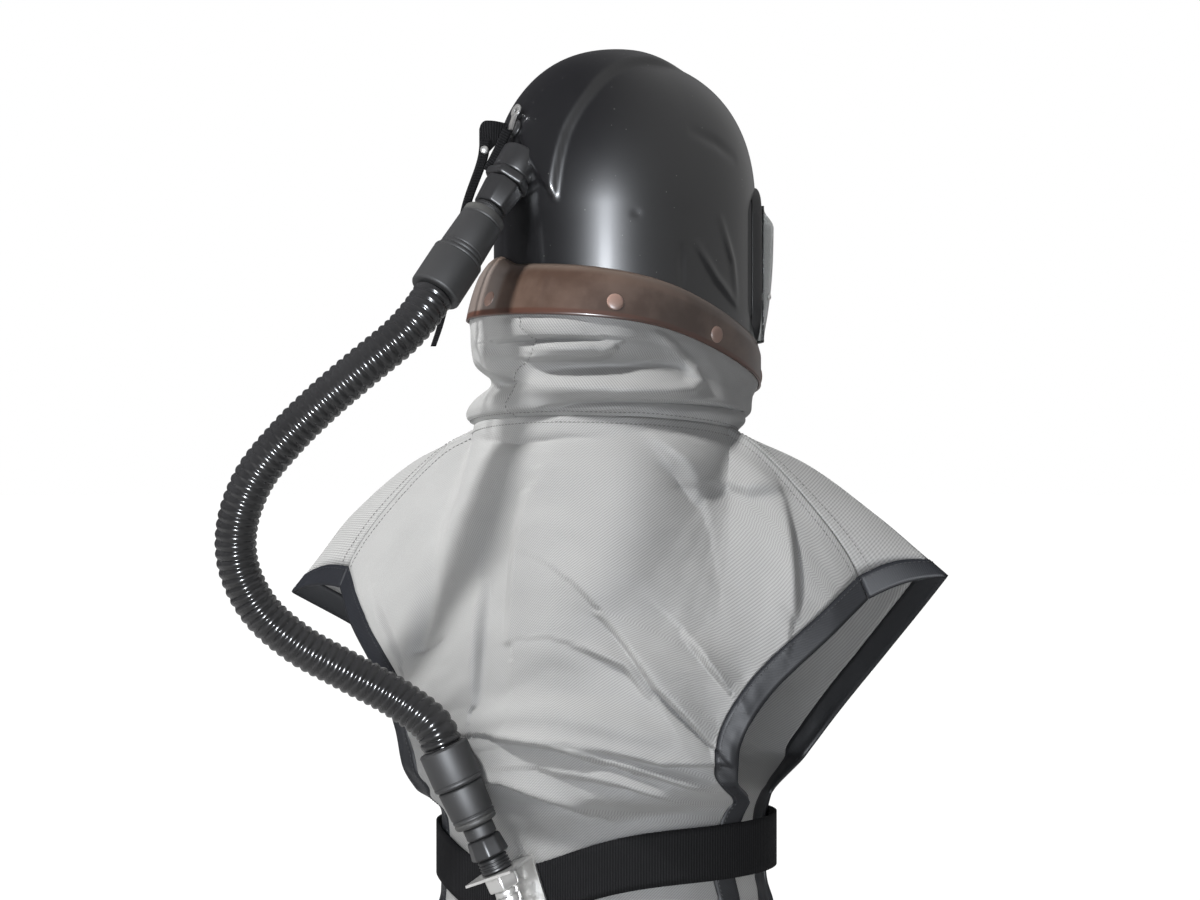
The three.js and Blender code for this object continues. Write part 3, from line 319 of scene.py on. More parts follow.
def grid_object(name, points_mm, material, closed_down=False, closed_across=False, flip=False):
    down, across, _ = points_mm.shape
    faces = grid_faces(down, across, closed_down, closed_across)
    if flip:
        faces = faces[:, ::-1]
    piece = mesh_object(name, points_mm, faces.tolist(), material)
    grid = wrapped(points_mm, 0) if closed_down else points_mm
    grid = wrapped(grid, 1) if closed_across else grid
    u = lengths_along(grid, 1)
    u = u - u[:, [u.shape[1] // 2]]
    v = lengths_along(grid, 0)
    v = np.repeat(v[:, [v.shape[1] // 2]], v.shape[1], axis=1)
    uv = np.stack([u, v], axis=-1) * MM
    j, i = np.meshgrid(np.arange(grid.shape[0] - 1), np.arange(grid.shape[1] - 1), indexing="ij")
    corners = [uv[j, i], uv[j + 1, i], uv[j + 1, i + 1], uv[j, i + 1]]
    if flip:
        corners = corners[::-1]
    loops = np.stack(corners, axis=2).reshape(-1, 2)
    layer = piece.data.uv_layers.new(name="UVMap")
    layer.data.foreach_set("uv", loops.astype(np.float32).ravel())
    return piece


# %% [markdown]
# Finishing a piece. A sheet gets a wall, hard edges get a small bevel, modifiers are made into plain mesh,
# and every piece is tied to the body and hides the solids that it stands for.

# %% Finishing helpers
def thicken(piece, wall_mm, offset=0.0):
    solidify = piece.modifiers.new("wall", "SOLIDIFY")
    solidify.thickness = wall_mm * MM
    solidify.offset = offset
    return piece


def soften(piece, width_mm, segments=2):
    bevel = piece.modifiers.new("soft edges", "BEVEL")
    bevel.width = width_mm * MM
    bevel.segments = segments
    bevel.limit_method = "ANGLE"
    return piece


def bake(piece):
    """Turn the modifiers into mesh; a curve becomes a mesh object of the same name."""
    graph = bpy.context.evaluated_depsgraph_get()
    mesh = bpy.data.meshes.new_from_object(piece.evaluated_get(graph))
    old = piece.data
    piece.modifiers.clear()
    if piece.type == "MESH":
        piece.data = mesh
        bpy.data.meshes.remove(old)
        return piece
    fresh = bpy.data.objects.new(piece.name + "_mesh", mesh)
    bpy.context.scene.collection.objects.link(fresh)
    name = piece.name
    bpy.data.objects.remove(piece)
    fresh.name = name
    return fresh


def dress(piece, slot, *nodes):
    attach(piece, "root")
    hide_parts(*nodes)
    print(piece.name, "faces:", len(piece.data.polygons), "for", ", ".join(nodes))
    return piece


def join(piece, *others):
    """Put the finished meshes of other pieces into one piece, and remove those pieces."""
    whole = bmesh.new()
    for part in (piece, *others):
        bake(part)
        whole.from_mesh(part.data)
    whole.to_mesh(piece.data)
    whole.free()
    for part in others:
        bpy.data.objects.remove(part)
    return piece


# %% [markdown]
# Folds. Sheets crumple along lines, so a fold here is a short line on the surface with a height and a width.
# A roll has a round section, a crease comes to a sharp bottom, and a ledge drops off steeply on one side of
# its line, as cloth does where it hangs over itself. They push the surface outward, or inward where the
# height is negative, so the mesh stays a plain grid. Fixed noise adds the small unevenness that cloth has
# everywhere.

# %% Fold profiles
CREASE_SHARPNESS = 1.5
LEDGE_DROP = 6.0


def roll(away, width):
    return bell(away / width)


def crease(away, width):
    return np.exp(-CREASE_SHARPNESS * np.abs(away) / width)


def ledge(away, width):
    return np.where(away > 0, np.exp(-np.maximum(away, 0) / width), 1 - smooth(-away / LEDGE_DROP))


# %% Folds on a surface
FOLD_END = 0.35


def fold_height(px, py, folds, scale):
    """How far the folds push each point; a fold fades towards its ends."""
    total = np.zeros(np.broadcast(px, py).shape)
    for points, height, width, profile in folds:
        line = np.array(points, float) * scale
        lengths = lengths_along(line, 0)
        nearest = np.full(total.shape, np.inf)
        place = np.zeros(total.shape)
        side = np.zeros(total.shape)
        for k in range(len(line) - 1):
            (x0, y0), (dx, dy) = line[k], line[k + 1] - line[k]
            part = np.clip(((px - x0) * dx + (py - y0) * dy) / (dx * dx + dy * dy), 0, 1)
            away = np.hypot(px - x0 - part * dx, py - y0 - part * dy)
            closer = away < nearest
            nearest = np.where(closer, away, nearest)
            place = np.where(closer, mix(lengths[k], lengths[k + 1], part) / lengths[-1], place)
            side = np.where(closer, np.sign(dx * (py - y0) - dy * (px - x0)), side)
        strength = height * mix(FOLD_END, 1, np.sin(np.pi * place))
        total = total + strength * profile(nearest * side, width)
    return total


def wrinkles(px, py, size, height):
    """Small uneven waves, the same on every run."""
    px, py = np.broadcast_arrays(px, py)
    values = [noise.noise((x / size, y / size, 0.0)) for x, y in zip(px.ravel(), py.ravel())]
    return height * np.reshape(values, px.shape)


# %% [markdown]
# Finishes. Each is a Principled shader whose colour, roughness and bump come from procedural patterns.
# The weave is a node group, because hood, cape, binding, belt and strap all use it.

# %% Weave group
WEAVE_SHARES = Sizes(rib=0.36, thread=0.14, middle=0.5, fibre=0.25, height=0.75)
THREADS_A_RIB = 2.0
FIBRE_SCALE = 900.0


def weave_group():
    tree, given, result = new_group(
        "twill weave",
        [
            ("UV", "NodeSocketVector", None),
            ("Pitch", "NodeSocketFloat", 0.001),
            ("Slant", "NodeSocketFloat", 1.0),
        ],
        [("Height", "NodeSocketFloat"), ("Shade", "NodeSocketFloat")],
    )
    parts = add(tree, "ShaderNodeSeparateXYZ", Vector=given.outputs["UV"])
    turn = calc(tree, "DIVIDE", 2 * np.pi, given.outputs["Pitch"])
    u = calc(tree, "MULTIPLY", parts.outputs["X"], turn)
    v = calc(tree, "MULTIPLY", parts.outputs["Y"], turn)
    slanted = calc(tree, "MULTIPLY", v, given.outputs["Slant"])
    rib = calc(tree, "SINE", calc(tree, "ADD", u, slanted))
    thread = calc(tree, "SINE", calc(tree, "MULTIPLY", v, THREADS_A_RIB))
    ribs = calc(tree, "MULTIPLY", rib, WEAVE_SHARES.rib)
    threads = calc(tree, "MULTIPLY", thread, WEAVE_SHARES.thread)
    height = calc(tree, "ADD", calc(tree, "ADD", ribs, threads), WEAVE_SHARES.middle)
    fibres = add(tree, "ShaderNodeTexNoise", Vector=given.outputs["UV"], Scale=FIBRE_SCALE, Detail=2.0)
    raised = calc(tree, "MULTIPLY", height, WEAVE_SHARES.height)
    shade = calc(tree, "MULTIPLY_ADD", fibres.outputs["Fac"], WEAVE_SHARES.fibre, raised)
    tree.links.new(height, result.inputs["Height"])
    tree.links.new(shade, result.inputs["Shade"])
    return tree


WEAVE = weave_group()
print("weave nodes:", len(WEAVE.nodes))

# %% [markdown]
# Nothing that is handled stays even. A second group puts out soft patches, a fine grain and a few specks of
# dust; each finish decides how much of them it shows.

# %% Wear group
SPECK = Sizes(share_above=0.8, radius=0.09)


def wear_group():
    tree, given, result = new_group(
        "handling marks",
        [
            ("Vector", "NodeSocketVector", None),
            ("Patch Size", "NodeSocketFloat", 12.0),
            ("Grain Size", "NodeSocketFloat", 700.0),
            ("Speck Size", "NodeSocketFloat", 150.0),
        ],
        [("Patch", "NodeSocketFloat"), ("Grain", "NodeSocketFloat"), ("Speck", "NodeSocketFloat")],
    )
    place = given.outputs["Vector"]
    patch = add(tree, "ShaderNodeTexNoise", Vector=place, Scale=given.outputs["Patch Size"], Detail=5.0)
    grain = add(tree, "ShaderNodeTexNoise", Vector=place, Scale=given.outputs["Grain Size"], Detail=3.0)
    cells = add(tree, "ShaderNodeTexVoronoi", Vector=place, Scale=given.outputs["Speck Size"])
    chance = add(tree, "ShaderNodeSeparateColor", Color=cells.outputs["Color"])
    few = calc(tree, "GREATER_THAN", chance.outputs["Red"], SPECK.share_above)
    small = calc(tree, "LESS_THAN", cells.outputs["Distance"], SPECK.radius)
    tree.links.new(patch.outputs["Fac"], result.inputs["Patch"])
    tree.links.new(grain.outputs["Fac"], result.inputs["Grain"])
    tree.links.new(calc(tree, "MULTIPLY", few, small), result.inputs["Speck"])
    return tree


MARKS = wear_group()
print("wear nodes:", len(MARKS.nodes))

# %% [markdown]
# Two recipes make nearly all the finishes. A moulded surface runs between a dark and a light tone with its
# patches, and may turn paler in patches near one end of its length. A woven one takes its tone and
# its relief from the weave.

# %% Recipes for finishes
DUST = (0.16, 0.16, 0.155, 1)
# A paler grey that some patches turn to near one end of a piece.
PALER_END_TONE = (0.1, 0.1, 0.094, 1)
PALER_END_FULL = 0.6
GRAIN_STRENGTH = 0.4
WOVEN = Sizes(patch_size=9.0, patch_share=0.45, darker=0.22, relief=0.6)


def bump(tree, shader, height, strength, distance):
    node = add(tree, "ShaderNodeBump", Height=height, Strength=strength, Distance=distance)
    tree.links.new(node.outputs["Normal"], shader.inputs["Normal"])


def moulded(name, dark, light, roughness, grain_mm=0.05, dust=0.3, paler_end_mm=0, **inputs):
    material, tree, shader = new_material(name, **inputs)
    coords = add(tree, "ShaderNodeTexCoord")
    marks = place_group(tree, MARKS, Vector=coords.outputs["Object"])
    clean = blend_colors(tree, marks.outputs["Patch"], dark, light)
    # Paler in patches near the start of the piece's UV length.
    if paler_end_mm:
        along = add(tree, "ShaderNodeSeparateXYZ", Vector=coords.outputs["UV"]).outputs["Y"]
        near_end = fade(tree, along, paler_end_mm * MM, paler_end_mm * MM * PALER_END_FULL)
        paler_patches = calc(tree, "MULTIPLY", near_end, marks.outputs["Patch"])
        clean = blend_colors(tree, paler_patches, clean, PALER_END_TONE)
    dusty = calc(tree, "MULTIPLY", marks.outputs["Speck"], dust)
    tree.links.new(blend_colors(tree, dusty, clean, DUST), shader.inputs["Base Color"])
    low, high = roughness
    spread = calc(tree, "MULTIPLY_ADD", marks.outputs["Patch"], high - low, low)
    tree.links.new(spread, shader.inputs["Roughness"])
    bump(tree, shader, marks.outputs["Grain"], GRAIN_STRENGTH, grain_mm * MM)
    return material


def woven(name, dark, light, pitch_mm, slant, roughness, depth_mm, **inputs):
    material, tree, shader = new_material(name, Roughness=roughness, **inputs)
    coords = add(tree, "ShaderNodeTexCoord")
    weave = place_group(tree, WEAVE, UV=coords.outputs["UV"], Pitch=pitch_mm * MM, Slant=slant)
    marks = place_group(tree, MARKS, Vector=coords.outputs["Object"], Patch_Size=WOVEN.patch_size)
    patchy = calc(tree, "MULTIPLY_ADD", marks.outputs["Patch"], WOVEN.patch_share, weave.outputs["Shade"])
    shade = calc(tree, "SUBTRACT", patchy, WOVEN.darker)
    tree.links.new(blend_colors(tree, shade, dark, light), shader.inputs["Base Color"])
    bump(tree, shader, weave.outputs["Height"], WOVEN.relief, depth_mm * MM)
    return material


# %% [markdown]
# The finishes themselves. Black ones differ mostly in how rough they are: the shell is lacquered, the hose is
# nearly as shiny, the couplings are dull. The twill is grey, and its binding and the webbing are dark.

# %% Finishes
GLOSS_BLACK = moulded(
    "gloss black shell", dark=(0.006, 0.006, 0.007, 1), light=(0.011, 0.011, 0.0125, 1),
    roughness=(0.34, 0.42), grain_mm=0.004, dust=0.5, Coat_Weight=0.6, Coat_Roughness=0.13,
)
BLACK_PLASTIC = moulded(
    "black moulding", dark=(0.018, 0.018, 0.019, 1), light=(0.032, 0.032, 0.034, 1), roughness=(0.34, 0.48)
)
BLACK_RUBBER = moulded(
    "black rubber", dark=(0.026, 0.026, 0.027, 1), light=(0.044, 0.044, 0.045, 1), roughness=(0.5, 0.64)
)
SLEEVE_RUBBER = moulded(
    "sleeve rubber", dark=(0.026, 0.026, 0.027, 1), light=(0.042, 0.042, 0.043, 1), roughness=(0.5, 0.64),
    paler_end_mm=11,
)
HOSE_RUBBER = moulded(
    "hose rubber", dark=(0.02, 0.02, 0.021, 1), light=(0.036, 0.036, 0.038, 1), roughness=(0.16, 0.26)
)
BRIGHT_METAL = moulded(
    "nickel plate", dark=(0.6, 0.595, 0.58, 1), light=(0.76, 0.75, 0.735, 1), roughness=(0.24, 0.38),
    grain_mm=0.004, dust=0.0, Metallic=0.8,
)
STUD_RUBBER = moulded(
    "stud rubber", dark=(0.3, 0.19, 0.155, 1), light=(0.38, 0.25, 0.205, 1), roughness=(0.4, 0.5)
)
TWILL = woven(
    "grey twill", dark=(0.23, 0.23, 0.226, 1), light=(0.47, 0.47, 0.464, 1), pitch_mm=2.8, slant=-1.0,
    roughness=0.7, depth_mm=0.2, Sheen_Weight=0.1,
)
BINDING_TAPE = woven(
    "charcoal tape", dark=(0.008, 0.0085, 0.011, 1), light=(0.026, 0.028, 0.034, 1), pitch_mm=1.8, slant=1.0,
    roughness=0.55, depth_mm=0.12, Specular_IOR_Level=0.3,
)
WEBBING = woven(
    "black webbing", dark=(0.0008, 0.0008, 0.001, 1), light=(0.022, 0.022, 0.024, 1), pitch_mm=2.6, slant=0.0,
    roughness=0.75, depth_mm=0.7, Specular_IOR_Level=0.08,
)
THREAD = moulded(
    "sewing thread", dark=(0.14, 0.14, 0.135, 1), light=(0.24, 0.24, 0.23, 1), roughness=(0.6, 0.75)
)
TAPE_THREAD = moulded(
    "dark thread", dark=(0.02, 0.02, 0.024, 1), light=(0.045, 0.045, 0.05, 1), roughness=(0.5, 0.65)
)
CLEAR_SHEET = moulded(
    "clear sheet", dark=(0.33, 0.34, 0.34, 1), light=(0.42, 0.43, 0.43, 1), roughness=(0.06, 0.18),
    grain_mm=0.002, dust=0.2, IOR=1.45, Transmission_Weight=0.9,
)
print("finishes:", len(bpy.data.materials))

# %% [markdown]
# The clamp band's rubber is smoky and lets a little of what lies behind it show: greyer on the nape, where
# cloth lies behind it, and reddish along its thin lower edge. Towards its top edge, where the thin rubber
# lies on the shell, it turns greyer, and paler as a painted highlight of the shell's gloss showing through.
# The band's own UV runs round it and down its height in metres, so the tones can follow both.

# %% Band rubber
# top: greyer where the thin rubber lies on the shell, and paler as a painted highlight of the shell's gloss.
BAND_TONES = Sizes(
    dark=(0.076, 0.046, 0.034, 1), light=(0.13, 0.086, 0.066, 1), top=(0.14, 0.104, 0.084, 1),
    foot=(0.1, 0.046, 0.032, 1), nape=(0.2, 0.165, 0.148, 1),
)
BAND_FADES = Sizes(
    top_start=0.013, top_end=0.003, foot_start=0.049, foot_end=0.0515, thin=0.36, thick=0.64,
    nape=((0.006, -0.003), (-0.1, -0.07)),
)
BAND_SURFACE = Sizes(patch_size=24.0, smoothest=0.28, rougher=0.2, relief=0.5, relief_mm=0.6)


def band_rubber():
    material, tree, shader = new_material("smoky brown rubber", Coat_Weight=0.3, Coat_Roughness=0.15)
    coords = add(tree, "ShaderNodeTexCoord")
    place = coords.outputs["Object"]
    marks = place_group(tree, MARKS, Vector=place, Patch_Size=BAND_SURFACE.patch_size)
    patch = marks.outputs["Patch"]
    around, down, _ = add(tree, "ShaderNodeSeparateXYZ", Vector=coords.outputs["UV"]).outputs
    cloudy = fade(tree, patch, BAND_FADES.thin, BAND_FADES.thick)
    colour = blend_colors(tree, cloudy, BAND_TONES.dark, BAND_TONES.light)
    on_nape = calc(tree, "MULTIPLY", *[fade(tree, around, start, end) for start, end in BAND_FADES.nape])
    # Painted highlight along the top edge, together with the real grey of the shell under the thin rubber.
    top_grey_and_highlight = fade(tree, down, BAND_FADES.top_start, BAND_FADES.top_end)
    at_foot = fade(tree, down, BAND_FADES.foot_start, BAND_FADES.foot_end)
    for share, tone in ((on_nape, BAND_TONES.nape), (top_grey_and_highlight, BAND_TONES.top), (at_foot, BAND_TONES.foot)):
        colour = blend_colors(tree, share, colour, tone)
    tree.links.new(colour, shader.inputs["Base Color"])
    rough = calc(tree, "MULTIPLY_ADD", patch, BAND_SURFACE.rougher, BAND_SURFACE.smoothest)
    tree.links.new(rough, shader.inputs["Roughness"])
    bump(tree, shader, patch, BAND_SURFACE.relief, BAND_SURFACE.relief_mm * MM)
    return material


BROWN_RUBBER = band_rubber()
print("band rubber on", BROWN_RUBBER.name)

# %% [markdown]
# The shell is a dome that is squarer than an ellipsoid, with a straight skirt below. Angle 0 is the face
# and 90 degrees the wearer's left. The air duct is a raised ridge over the crown with an arch at its foot:
# the dome simply grows by the duct's height inside the duct's outline, with a soft edge.

# %% Shell form
GAP = 0.3
HEAD_TURN = np.radians(-30)
SHELL = Sizes(
    half_width=112, half_length=130, top=121, equator=-30, wall=3.5, plan_power=2.25, plan_front=0.25,
    side_power=2.28, side_front=0.2, crown_back=4,
)
RIM = Sizes(side=-117, tilt=-42.5, bow=-11.5, shell_below_band_top=27)
DUCT = Sizes(height=7, arch_top=30, front_end=-50, fade=60, sunk=1, edge=3.5)
DUCT_OUTLINE = [(45, -24), (48, 36), (53, 71), (53, 150)]


def on_plan(angle, radius, z):
    return stacked(radius * np.sin(angle), -radius * np.cos(angle), z)


def plan_radius(angle):
    power = SHELL.plan_power + SHELL.plan_front * np.cos(angle)
    a = np.abs(np.sin(angle) / SHELL.half_width) ** power
    b = np.abs(np.cos(angle) / SHELL.half_length) ** power
    return (a + b) ** (-1 / power)


def band_top(angle):
    c = np.cos(angle)
    return RIM.side + RIM.tilt * c + RIM.bow * c * c


def dome_point(angle, down, grow):
    turn = down * np.pi / 2
    power = 2 / (SHELL.side_power + SHELL.side_front * np.cos(angle) * down)
    out = np.sin(turn) ** power
    up = np.maximum(0, np.cos(turn)) ** power
    rise = SHELL.top + grow - SHELL.equator
    point = on_plan(angle, (plan_radius(angle) + grow) * out, SHELL.equator + rise * up)
    point[..., 1] += SHELL.crown_back * up * up
    return point


def inside_outline(x, z, corners):
    """How far a point is inside a closed outline; negative outside it."""
    inside = np.zeros(x.shape, bool)
    nearest = np.full(x.shape, np.inf)
    for (x0, z0), (x1, z1) in zip(corners, corners[1:] + corners[:1]):
        dx, dz = x1 - x0, z1 - z0
        part = np.clip(((x - x0) * dx + (z - z0) * dz) / (dx * dx + dz * dz), 0, 1)
        nearest = np.minimum(nearest, np.hypot(x - x0 - part * dx, z - z0 - part * dz))
        crosses = (z0 > z) != (z1 > z)
        level = dz if dz else 1
        inside ^= crosses & (x < x0 + (z - z0) * dx / level)
    return np.where(inside, nearest, -nearest)


def duct_grow(angle, down):
    base = dome_point(angle, down, 0)
    corners = [(0, DUCT.arch_top)] + DUCT_OUTLINE + [(-x, z) for x, z in reversed(DUCT_OUTLINE)]
    within = inside_outline(base[..., 0], base[..., 2], corners)
    behind = base[..., 1] - DUCT.front_end
    height = mix(-DUCT.sunk, DUCT.height, smooth(behind / DUCT.fade))
    return np.maximum(0, height) * smooth((within + DUCT.edge) / (2 * DUCT.edge))


def head_turned(points):
    c, s = np.cos(HEAD_TURN), np.sin(HEAD_TURN)
    return np.asarray(points) @ np.array([[c, -s, 0], [s, c, 0], [0, 0, 1]]).T


print("shell", 2 * SHELL.half_width, "x", 2 * SHELL.half_length, "mm, duct", DUCT.height, "mm high")

# %% [markdown]
# The visor's outline is a rectangle with rounder corners at the chin than at the brow. The shell's opening,
# the gasket and the frame all follow it, each drawn in by its own amount.

# %% Visor outline
VISOR = Sizes(
    half_width=98, top=-2, bottom=-163, brow_corner=30, chin_corner=50, rim=13, bow=38,
    gasket_back=64, gasket_front=81, frame_front=94,
)
CORNER_STEPS = 14
EDGE_STEPS = 24


def visor_outline(inset):
    """Points round the visor, as (x, z), drawn in by some millimetres."""
    half = VISOR.half_width - inset
    top, bottom = VISOR.top - inset, VISOR.bottom + inset
    chin, brow = VISOR.chin_corner - inset, VISOR.brow_corner - inset
    corners = [
        (half - chin, bottom + chin, chin, -90), (half - brow, top - brow, brow, 0),
        (brow - half, top - brow, brow, 90), (chin - half, bottom + chin, chin, 180),
    ]
    arcs = []
    for x, z, radius, start in corners:
        turn = np.radians(start + np.linspace(0, 90, CORNER_STEPS))
        arcs.append(np.stack([x + radius * np.cos(turn), z + radius * np.sin(turn)], axis=1))
    points = []
    for arc, following in zip(arcs, arcs[1:] + arcs[:1]):
        part = np.linspace(0, 1, EDGE_STEPS)[1:-1, None]
        points += [arc, mix(arc[-1], following[0], part)]
    return np.concatenate(points)


def visor_bow(x):
    return VISOR.bow * (1 - (x / VISOR.half_width) ** 2)


# %% [markdown]
# Cutting and joining. An outline drawn out straight is a tool for a cut, and a boolean takes the tool
# away from a piece or joins it to it.

# %% Cut and join
def prism(name, outline, from_y, to_y):
    count = len(outline)
    points = [np.column_stack([outline[:, 0], np.full(count, y), outline[:, 1]]) for y in (from_y, to_y)]
    sides = [[k, (k + 1) % count, count + (k + 1) % count, count + k] for k in range(count)]
    caps = [list(range(count))[::-1], list(range(count, 2 * count))]
    return mesh_object(name, head_turned(np.concatenate(points)), sides + caps, BLACK_PLASTIC)


def combine(piece, tool, operation):
    boolean = piece.modifiers.new("combine", "BOOLEAN")
    boolean.operation = operation
    boolean.solver = "MANIFOLD"
    boolean.object = tool
    bake(piece)
    bpy.data.objects.remove(tool)
    return piece


# %% [markdown]
# The shell's mesh is one grid round the dome and down the skirt, with a pole on top. It gets its wall and
# then its visor opening. A few shallow creases and a dent, as a used shell has, are pushed into it like
# folds. Their heights are measured along the wall, which is about SHELL_ARC long from equator to crown.

# %% Shell mesh
SHELL_GRID = Sizes(around=324, dome_rows=76, skirt_rows=44)
SHELL_CREASE_SCALE = (2.1, 1.0)
SHELL_ARC = 190
SHELL_CREASES = [
    # points as (angle from the face, height on the wall measured along it), height, width, profile
    (((269.5, 22), (285, 14), (297, 4)), -1.8, 5, roll),
    (((284, -40), (293, -80), (296, -112)), 1.6, 4, roll),
    (((268, -66), (281, -96), (296, -120)), 1.5, 4, roll),
    (((259, -70), (259, -106)), -1.2, 4, roll),
    (((235.6, -40), (236.4, -40)), -1.4, 3.5, roll),
]


def shell_piece():
    angle = full_turn(SHELL_GRID.around)
    down = np.linspace(0, 1, SHELL_GRID.dome_rows + 1)[1:, None]
    rows = dome_point(angle, down, duct_grow(angle, down))
    foot = band_top(angle) - RIM.shell_below_band_top
    lower = np.linspace(0, 1, SHELL_GRID.skirt_rows + 1)[1:, None]
    skirt = np.repeat(rows[-1:], SHELL_GRID.skirt_rows, axis=0)
    skirt[..., 2] = mix(skirt[..., 2], foot, lower)
    points = np.concatenate([rows, skirt])
    up_dome = np.repeat(SHELL.equator + SHELL_ARC * (1 - down), len(angle), axis=1)
    up_wall = np.concatenate([up_dome, skirt[..., 2]])
    around = np.degrees(angle)[None, :] * SHELL_CREASE_SCALE[0]
    push = fold_height(around, up_wall, SHELL_CREASES, SHELL_CREASE_SCALE)
    points = points + push[..., None] * on_plan(angle, 1.0, 0.0)
    pole = dome_point(np.zeros(1), np.zeros(1), DUCT.height)
    count = points.shape[0] * points.shape[1]
    faces = grid_faces(*points.shape[:2], closed_down=False, closed_across=True).tolist()
    faces += [[count, i, (i + 1) % SHELL_GRID.around] for i in range(SHELL_GRID.around)]
    points = np.concatenate([points.reshape(-1, 3), pole])
    piece = mesh_object("shell_dome", head_turned(points), faces, GLOSS_BLACK)
    thicken(piece, SHELL.wall, -1)
    window = prism("visor_hole", visor_outline(-GAP), -2 * SHELL.half_length, -SHELL.half_width / 3)
    combine(piece, window, "DIFFERENCE")
    return dress(piece, "shell", "shell")


shell_piece()

# %% [markdown]
# The visor fills the opening in front: a rubber gasket, and a frame on it. Each ring is one section swept
# round the same outline, bent forward by the visor's bow.

# %% Visor rings
EDGE = 1.6
RING_BEVEL = 0.4
VISOR_RINGS = [
    # name, back, front, material, slot, node
    ("visor_seal", VISOR.gasket_back, VISOR.gasket_front, BLACK_RUBBER, "black_rubber", "visor_gasket"),
    ("visor_rim", VISOR.gasket_front + GAP, VISOR.frame_front, BLACK_PLASTIC, "black_plastic", "visor_frame"),
]


def visor_ring(name, back, front, material):
    section = [
        (0, back), (0, front - EDGE), (EDGE, front), (VISOR.rim - EDGE, front), (VISOR.rim, front - EDGE),
        (VISOR.rim, back),
    ]
    loops = []
    for inset, depth in section:
        outline = visor_outline(inset)
        x, z = outline[:, 0], outline[:, 1]
        loops.append(np.column_stack([x, -depth - visor_bow(x), z]))
    points = head_turned(np.array(loops))
    piece = grid_object(name, points, material, closed_down=True, closed_across=True, flip=True)
    return soften(piece, RING_BEVEL)


for name, back, front, material, slot, node in VISOR_RINGS:
    dress(visor_ring(name, back, front, material), slot, node)

# %% [markdown]
# The lens is a clear sheet in front of the frame that bulges forward, least in its middle. A sheet like
# this is formed hot, so it bends both ways and comes back to the frame at its edges.

# %% Lens
LENS = Sizes(
    inset=5, top=-22, bottom=-154, bulge=22, middle_dip=0.35, wall=2.5, gap=0.8, side_power=12,
    drop_power=2.9, top_ease=0.14,
)
LENS_GRID = Sizes(across=61, down=45)


def lens_point(across, down, depth):
    x = across * (VISOR.half_width - LENS.inset)
    sides = 1 - np.abs(across) ** LENS.side_power
    ends = smooth(down / LENS.top_ease) * (1 - down ** LENS.drop_power)
    middle = 1 - LENS.middle_dip * (1 - across * across)
    y = -depth - visor_bow(x) - LENS.bulge * sides * ends * middle
    return stacked(x, y, mix(LENS.top, LENS.bottom, down))


lens_across = np.sin(np.linspace(-np.pi / 2, np.pi / 2, LENS_GRID.across))
lens_down = np.linspace(0, 1, LENS_GRID.down)[:, None]
lens_middle = VISOR.frame_front + LENS.gap + LENS.wall / 2
lens_points = lens_point(lens_across, lens_down, lens_middle)
lens = grid_object("lens_sheet", head_turned(lens_points), CLEAR_SHEET, flip=True)
dress(thicken(lens, LENS.wall), "lens", "visor_lens")

# %% [markdown]
# What repeats is made by Geometry Nodes: heads of screws and studs, ribs of the hose, stitches. All their
# trees begin alike, with geometry, some numbers and a material coming in, and end alike, in Realize
# Instances and Set Material, so two helpers make the beginning and the end.

# %% Geometry tree helpers
def begin_tree(name, *numbers):
    tree = bpy.data.node_groups.new(name, "GeometryNodeTree")
    face = tree.interface
    face.new_socket("Geometry", in_out="INPUT", socket_type="NodeSocketGeometry")
    for label in numbers:
        face.new_socket(label, in_out="INPUT", socket_type="NodeSocketFloat")
    face.new_socket("Material", in_out="INPUT", socket_type="NodeSocketMaterial")
    face.new_socket("Geometry", in_out="OUTPUT", socket_type="NodeSocketGeometry")
    return tree, tree.nodes.new("NodeGroupInput").outputs


def end_tree(tree, shape, material):
    real = add(tree, "GeometryNodeRealizeInstances", Geometry=shape)
    painted = add(tree, "GeometryNodeSetMaterial", Geometry=real.outputs[0], Material=material)
    result = tree.nodes.new("NodeGroupOutput")
    tree.links.new(painted.outputs[0], result.inputs[0])
    return tree


def run_tree(piece, tree, values):
    """Run the tree on a piece with these values for its inputs, and keep the mesh that comes out."""
    modifier = piece.modifiers.new("made by nodes", "NODES")
    modifier.node_group = tree
    for item in tree.interface.items_tree:
        if item.in_out == "INPUT" and item.name in values:
            modifier[item.identifier] = values[item.name]
    return bake(piece)


# %% [markdown]
# Heads of screws, studs and rivets: a flattened ball on every point of a small cloud, turned along the
# point's own "out" direction.

# %% Heads on points
HEAD_BALL = Sizes(segments=24, rings=12)


def heads_tree():
    tree, given = begin_tree("heads on points", "Radius", "Height")
    points = add(tree, "GeometryNodeMeshToPoints", Mesh=given["Geometry"])
    ball = add(
        tree, "GeometryNodeMeshUVSphere", Segments=HEAD_BALL.segments, Rings=HEAD_BALL.rings, Radius=1.0
    )
    out = add(tree, "GeometryNodeInputNamedAttribute", {"data_type": "FLOAT_VECTOR"}, Name="out")
    turn = add(tree, "FunctionNodeAlignRotationToVector", {"axis": "Z"}, Vector=out.outputs["Attribute"])
    radius = given["Radius"]
    size = add(tree, "ShaderNodeCombineXYZ", X=radius, Y=radius, Z=given["Height"])
    placed = add(
        tree, "GeometryNodeInstanceOnPoints", Points=points.outputs[0], Instance=ball.outputs["Mesh"],
        Rotation=turn.outputs[0], Scale=size.outputs[0],
    )
    return end_tree(tree, placed.outputs[0], given["Material"])


HEADS = heads_tree()


